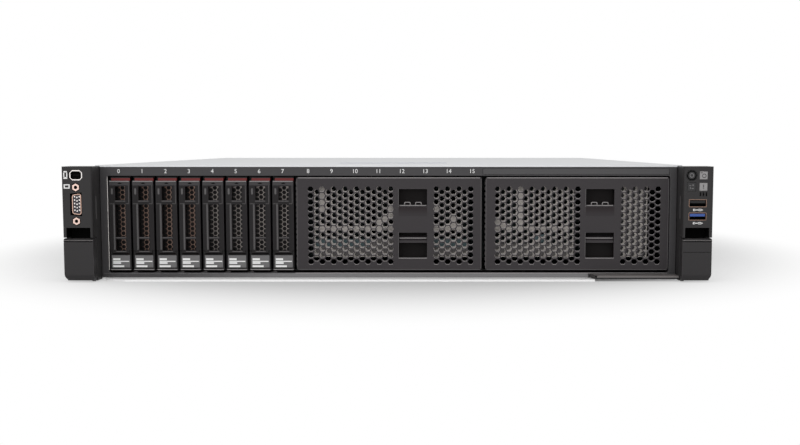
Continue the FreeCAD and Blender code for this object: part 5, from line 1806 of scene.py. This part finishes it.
@dataclass
class RearSide:
    """The rear wall's grilles and sockets, and the power supplies."""

    card_spans: tuple[Span, Span] = ((-211.0, -111.0), (-93.0, 7.0))  # X of the two card mouths
    card_rise: Span = (45.3, 79.3)  # Z of the card mouths
    mouth_depth: float = 2.6  # how far the card grilles stand in
    vent: tuple[Span, Span] = ((24.0, 132.0), (14.0, 74.0))  # X and Z
    pitch: float = 6.0  # of the vent holes
    web: float = 1.4
    sheet: float = 0.5  # thickness of the grilles
    block: tuple[Span, Span] = ((-213.0, -123.0), (9.5, 23.5))  # X and Z of the socket block
    sockets: int = 4
    socket_wall: float = 2.0
    socket_depth: float = 12.0
    socket_lining: float = 0.2
    pins: int = 8
    pin_pitch: float = 1.27
    pin_width: float = 0.5
    inlet: Span = (184.0, 211.0)  # X
    inlet_half: float = 10.0
    inlet_depth: float = 18.0
    inlet_lining: float = 0.8
    blades: tuple[Point2, ...] = ((-7.0, -2.0), (0.0, 3.0), (7.0, -2.0))  # X and Z, from the inlet's middle
    blade_size: tuple[float, float, float] = (2.0, 14.0, 5.0)  # width, length from the inlet's floor, height
    lens: Point2 = (-5.0, 4.0)  # X and Z, from the inlet's upper left corner
    lens_radius: float = 1.6

    def build(self) -> None:
        """Builds the grilles and sockets and dresses the supplies."""
        for index, span in enumerate(self.card_spans):
            self._grille(f"card_grille_{index}", span, self.card_rise, self.rear - self.mouth_depth)
        self._vent()
        self._sockets()
        for name in ("lower", "upper"):
            dress(f"power_supply_{name}", Finishes.SUPPLY, 0.4)
            dress(f"supply_release_{name}", Finishes.RELEASE, 0.4)
            self._inlet(f"power_supply_{name}")

    @property
    def rear(self) -> float:
        """Returns the Y of the rear wall's outer face."""
        return spans_of("rear_wall")[1][1]

    def _grille(self, name: str, x: Span, z: Span, y: float) -> None:
        """Builds a steel plate with hexagonal holes.

        Args:
            name: Name of the piece.
            x: Its X span.
            z: Its Z span.
            y: Its front.
        """
        step = self.pitch * math.sqrt(3) / 2
        radius = (self.pitch - self.web) / math.sqrt(3)
        columns = int((x[1] - x[0] - 2 * radius - 2) / step) + 1
        rows = int((z[1] - z[0] - 2) / self.pitch)
        left = sum(x) / 2 - (columns - 1) / 2 * step
        low = sum(z) / 2 - (rows - 1) / 2 * self.pitch
        holes = [
            Outline.ring((left + column * step, low + (row + column % 2 / 2) * self.pitch), radius, 6)
            for column in range(columns)
            for row in range(rows - column % 2)
        ]
        work = Piece()
        work.perforated(Outline.rectangle(x, z), holes, offset(y, 0.0, self.sheet))
        work.place(name, Finishes.STEEL, "galvanised_sheet")

    def _vent(self) -> None:
        """Lays a vent field on the rear wall, with a black plate behind its holes as painted shade."""
        x, z = self.vent
        backing = Piece()
        backing.block(x, offset(self.rear, -0.1, 0.05), z)
        backing.place("vent_painted_shade", Finishes.VOID, "galvanised_sheet")
        self._grille("vent_grille", inset(x, -1.0), inset(z, -1.0), self.rear + 0.06)

    def _sockets(self) -> None:
        """Faces the socket block in steel, lines each socket in black and adds gilt contacts."""
        x, z = self.block
        rear, wall, thin = self.rear, self.socket_wall, self.socket_lining
        width = (x[1] - x[0] - (self.sockets + 1) * wall) / self.sockets
        height = inset(z, wall)
        deep = offset(rear, -self.socket_depth, -0.3)
        holes, plate, lining, contacts = [], Piece(), Piece(), Piece()
        for index in range(self.sockets):
            across = offset(x[0] + wall + index * (width + wall), 0.0, width)
            holes.append(Outline.rectangle(across, height))
            lining.block(across, ends(deep, thin)[0], height)
            for span in ends(height, thin):
                lining.block(across, deep, span)
            for span in ends(across, thin):
                lining.block(span, deep, height)
            for pin in range(self.pins):
                middle = sum(across) / 2 + (pin - (self.pins - 1) / 2) * self.pin_pitch
                depth = (deep[0] + 1.0, rear - 2.0)
                contacts.block(spread(middle, self.pin_width), depth, offset(height[1], -1.2, -0.7))
        plate.perforated(Outline.rectangle(x, z), holes, offset(rear, -0.2, 0.05))
        plate.place("socket_face", Finishes.STEEL, "board_green")
        lining.place("socket_lining", Finishes.BLACK, "board_green")
        contacts.place("socket_contacts", Finishes.GOLD, "board_green")

    def _inlet(self, node: str) -> None:
        """Lines a supply's inlet in black and adds its three blades and a lens.

        Args:
            node: Name of the supply's node and body.
        """
        middle = sum(spans_of(node)[2]) / 2
        x, z = self.inlet, spread(middle, 2 * self.inlet_half)
        deep = offset(self.rear, -self.inlet_depth, 0.1)
        thin = self.inlet_lining
        lining = Piece()
        lining.block(x, ends(deep, thin)[0], z)
        for span in ends(z, thin):
            lining.block(x, deep, span)
        for span in ends(x, thin):
            lining.block(span, deep, inset(z, thin))
        lining.place(f"inlet_{node}", Finishes.BLACK, "supply_metal", node)
        width, length, height = self.blade_size
        blades = Piece()
        for across, rise in self.blades:
            span = spread(sum(x) / 2 + across, width)
            blades.block(span, offset(deep[0], thin, length), spread(middle + rise, height), 0.3)
        blades.place(f"blades_{node}", Finishes.STEEL, "supply_metal", node)
        lens = Piece()
        spot = (x[0] + self.lens[0], z[1] + self.lens[1])
        lens.prism(Outline.ring(spot, self.lens_radius, 20), offset(self.rear, -0.2, 0.3))
        lens.place(f"lens_{node}", Finishes.GREEN_LED, "supply_metal", node)


# Studio


@dataclass
class Studio:
    """Floor, lights and camera."""

    camera_x: float = 28.5 * MM  # right of the middle
    camera_back: float = 1096.7 * MM  # before the front of the ears
    camera_z: float = 100.5 * MM  # over the underside
    pitch: float = 6.97  # how far it looks down, in degrees
    focal: float = 1477.9  # in pixels of the photograph's frame
    principal_x: float = 426.2  # column of the optical axis
    principal_y: float = 327.3  # row of the optical axis
    sensor: float = 36.0  # width in millimetres
    shadow_reach: float = 0.24  # metres from the middle up to which the floor shows shadows
    white_reach: float = 0.42  # metres from which the floor is white
    sky: float = 0.45  # strength of the even light from all round
    key: float = 7.0  # watts, above the front
    fill: float = 4.5  # watts, at the left
    front: float = 4.0  # watts, behind the camera

    def build(self) -> None:
        """Sets the stage."""
        scene = bpy.context.scene
        scene.view_settings.view_transform = "Standard"
        self._floor()
        self._world()
        self._lamps()
        self._camera()

    def _floor(self) -> None:
        """Lays a pale floor that shows the object's shadow on white."""
        mesh = bpy.data.meshes.new("floor")
        reach = 6.0
        corners_of_floor = [(x, y, 0) for x, y in Outline.rectangle((-reach, reach), (-reach, reach))]
        mesh.from_pydata(corners_of_floor, [], [(0, 1, 2, 3)])
        floor = bpy.data.objects.new("floor", mesh)
        bpy.context.scene.collection.objects.link(floor)
        material = bpy.data.materials.new("floor_white")
        sheet = NodeSheet(material)
        noise = sheet.add("ShaderNodeTexNoise", {"Scale": 3.0, "Detail": 2.0})
        value = sheet.ramp(noise.outputs["Fac"], 0.90, 0.94)
        skin = {"Base Color": value, "Roughness": 0.9, "Specular IOR Level": 0.0}
        shader = sheet.add("ShaderNodeBsdfPrincipled", skin)
        white = sheet.add("ShaderNodeEmission", {"Strength": 1.0})
        both = sheet.add(
            "ShaderNodeMixShader",
            {"Fac": self._far(sheet), 1: shader.outputs["BSDF"], 2: white.outputs["Emission"]},
        )
        sheet.add("ShaderNodeOutputMaterial", {"Surface": both.outputs["Shader"]})
        mesh.materials.append(material)

    def _far(self, sheet: NodeSheet) -> bpy.types.NodeSocket:
        """Writes how far a floor point lies from the server, 1 where only white is seen.

        Args:
            sheet: The floor's nodes.

        Returns:
            A socket that is 0 near the server, and above 0 for camera rays only.
        """
        place = sheet.add("ShaderNodeNewGeometry").outputs["Position"]
        flat = sheet.add("ShaderNodeMapping", {"Vector": place, "Scale": (1.0, 0.62, 0.0)})
        length = sheet.add("ShaderNodeVectorMath", {0: flat.outputs["Vector"]}, operation="LENGTH")
        fade = sheet.add(
            "ShaderNodeMapRange",
            {"Value": length.outputs["Value"], "From Min": self.shadow_reach, "From Max": self.white_reach},
            interpolation_type="SMOOTHSTEP",
        )
        both = {0: fade.outputs["Result"], 1: self._seen(sheet)}
        return sheet.add("ShaderNodeMath", both, operation="MULTIPLY").outputs["Value"]

    @staticmethod
    def _seen(sheet: NodeSheet) -> bpy.types.NodeSocket:
        """Writes whether a ray shows the background: from the camera, in a gloss or through glass.

        Args:
            sheet: The nodes of the floor or the world.

        Returns:
            A socket that is 1 for such rays.
        """
        path = sheet.add("ShaderNodeLightPath").outputs
        direct = {0: path["Is Camera Ray"], 1: path["Is Glossy Ray"]}
        first = sheet.add("ShaderNodeMath", direct, operation="MAXIMUM")
        either = {0: first.outputs["Value"], 1: path["Is Transmission Ray"]}
        return sheet.add("ShaderNodeMath", either, operation="MAXIMUM").outputs["Value"]

    def _world(self) -> None:
        """Writes an even sky, white to the camera and in reflections."""
        world = bpy.data.worlds.new("studio")
        bpy.context.scene.world = world
        sheet = NodeSheet(world)
        strength = sheet.ramp(self._seen(sheet), self.sky, 1.0)
        sky = sheet.add("ShaderNodeBackground", {"Color": (1.0, 1.0, 1.0, 1.0), "Strength": strength})
        sheet.add("ShaderNodeOutputWorld", {"Surface": sky.outputs["Background"]})

    def _lamps(self) -> None:
        """Hangs a wide key over the front, a fill at the left and a lamp behind the camera."""
        aim = (0.0, -0.35, 0.05)
        self._area("key", (0.1, -1.2, 1.4), aim, 1.6, self.key)
        self._area("fill", (-0.9, -1.9, 0.5), aim, 1.2, self.fill)
        self._area("front", (0.2, -2.2, 0.35), aim, 0.9, self.front)

    @staticmethod
    def _area(name: str, place: tuple[float, float, float], aim: tuple[float, float, float],
              size: float, power: float) -> None:
        """Adds a square lamp.

        Args:
            name: Its name.
            place: Where it hangs.
            aim: What it points at.
            size: Length of its sides.
            power: Its power in watts.
        """
        data = bpy.data.lights.new(name, "AREA")
        data.shape = "SQUARE"
        data.size = size
        data.energy = power
        lamp = bpy.data.objects.new(name, data)
        lamp.location = place
        lamp.rotation_euler = (Vector(aim) - Vector(place)).to_track_quat("-Z", "Y").to_euler()
        bpy.context.scene.collection.objects.link(lamp)

    def _camera(self) -> None:
        """Sets the camera at the photograph's viewing angle."""
        data = bpy.data.cameras.new("camera")
        data.sensor_width = self.sensor
        data.sensor_fit = "HORIZONTAL"
        data.lens = self.focal * self.sensor / IMAGE_WIDTH
        data.shift_x = (IMAGE_WIDTH / 2 - self.principal_x) / IMAGE_WIDTH
        data.shift_y = (self.principal_y - IMAGE_HEIGHT / 2) / IMAGE_WIDTH
        data.clip_start = 0.05
        camera = bpy.data.objects.new("camera", data)
        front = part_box("left_ear")[0].y
        camera.location = (self.camera_x, front - self.camera_back, self.camera_z)
        camera.rotation_euler = (math.radians(90 - self.pitch), 0.0, 0.0)
        bpy.context.scene.collection.objects.link(camera)
        bpy.context.scene.camera = camera


def corners(box: tuple[Vector, Vector]) -> list[list[float]]:
    """Returns a box's two corners as plain lists."""
    return [[float(value) for value in corner] for corner in box]


def main() -> None:
    """Builds every sub-assembly and the studio."""
    logging.basicConfig(level=logging.INFO, format="%(name)s: %(message)s")
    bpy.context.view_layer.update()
    Casework().build()
    Bezel().build()
    for bay in range(8):
        DriveTray(bay).build()
    Filler(
        "middle",
        closed_left=frozenset(
            {(2, row) for row in range(4)} | {(12, 5), (12, 6), (13, 4), (14, 3), (14, 4)}
        ),
        closed_right=frozenset({(0, 3), (3, 4), (3, 5), (4, 6)}),
        ribs=(
            SheetRib(6.05, 0.62, (13.0, 126.0), Finishes.PALE),
            SheetRib(8.3, 1.2, (13.0, 56.0), Finishes.TEAL),
            SheetRib(8.3, 1.2, (56.0, 74.5), Finishes.DULL),
            SheetRib(8.3, 1.2, (104.4, 130.5), Finishes.TEAL),
            SheetRib(9.65, 1.5, (13.0, 130.0), Finishes.DULL),
        ),
    ).build()
    Filler(
        "right", side_inset=2.0, sheet_left=(0, 13), sheet_right=(0, 4),
        closed_left=frozenset({(4, row) for row in range(7)} | {(0, 5), (1, 5)}),
        ribs=(
            SheetRib(6.05, 0.5, (8.7, 66.0), Finishes.PALE),
            SheetRib(7.6, 1.2, (40.0, 47.5), Finishes.TEAL),
            SheetRib(9.4, 2.0, (8.7, 69.0), Finishes.DULL),
            SheetRib(4.9, 11.0, (104.4, 126.5), Finishes.CAP),
        ),
    ).build()
    LeftEar().build()
    RightEar().build()
    Inside().build()
    RearSide().build()
    Studio().build()


if __name__ == "__main__":
    main()
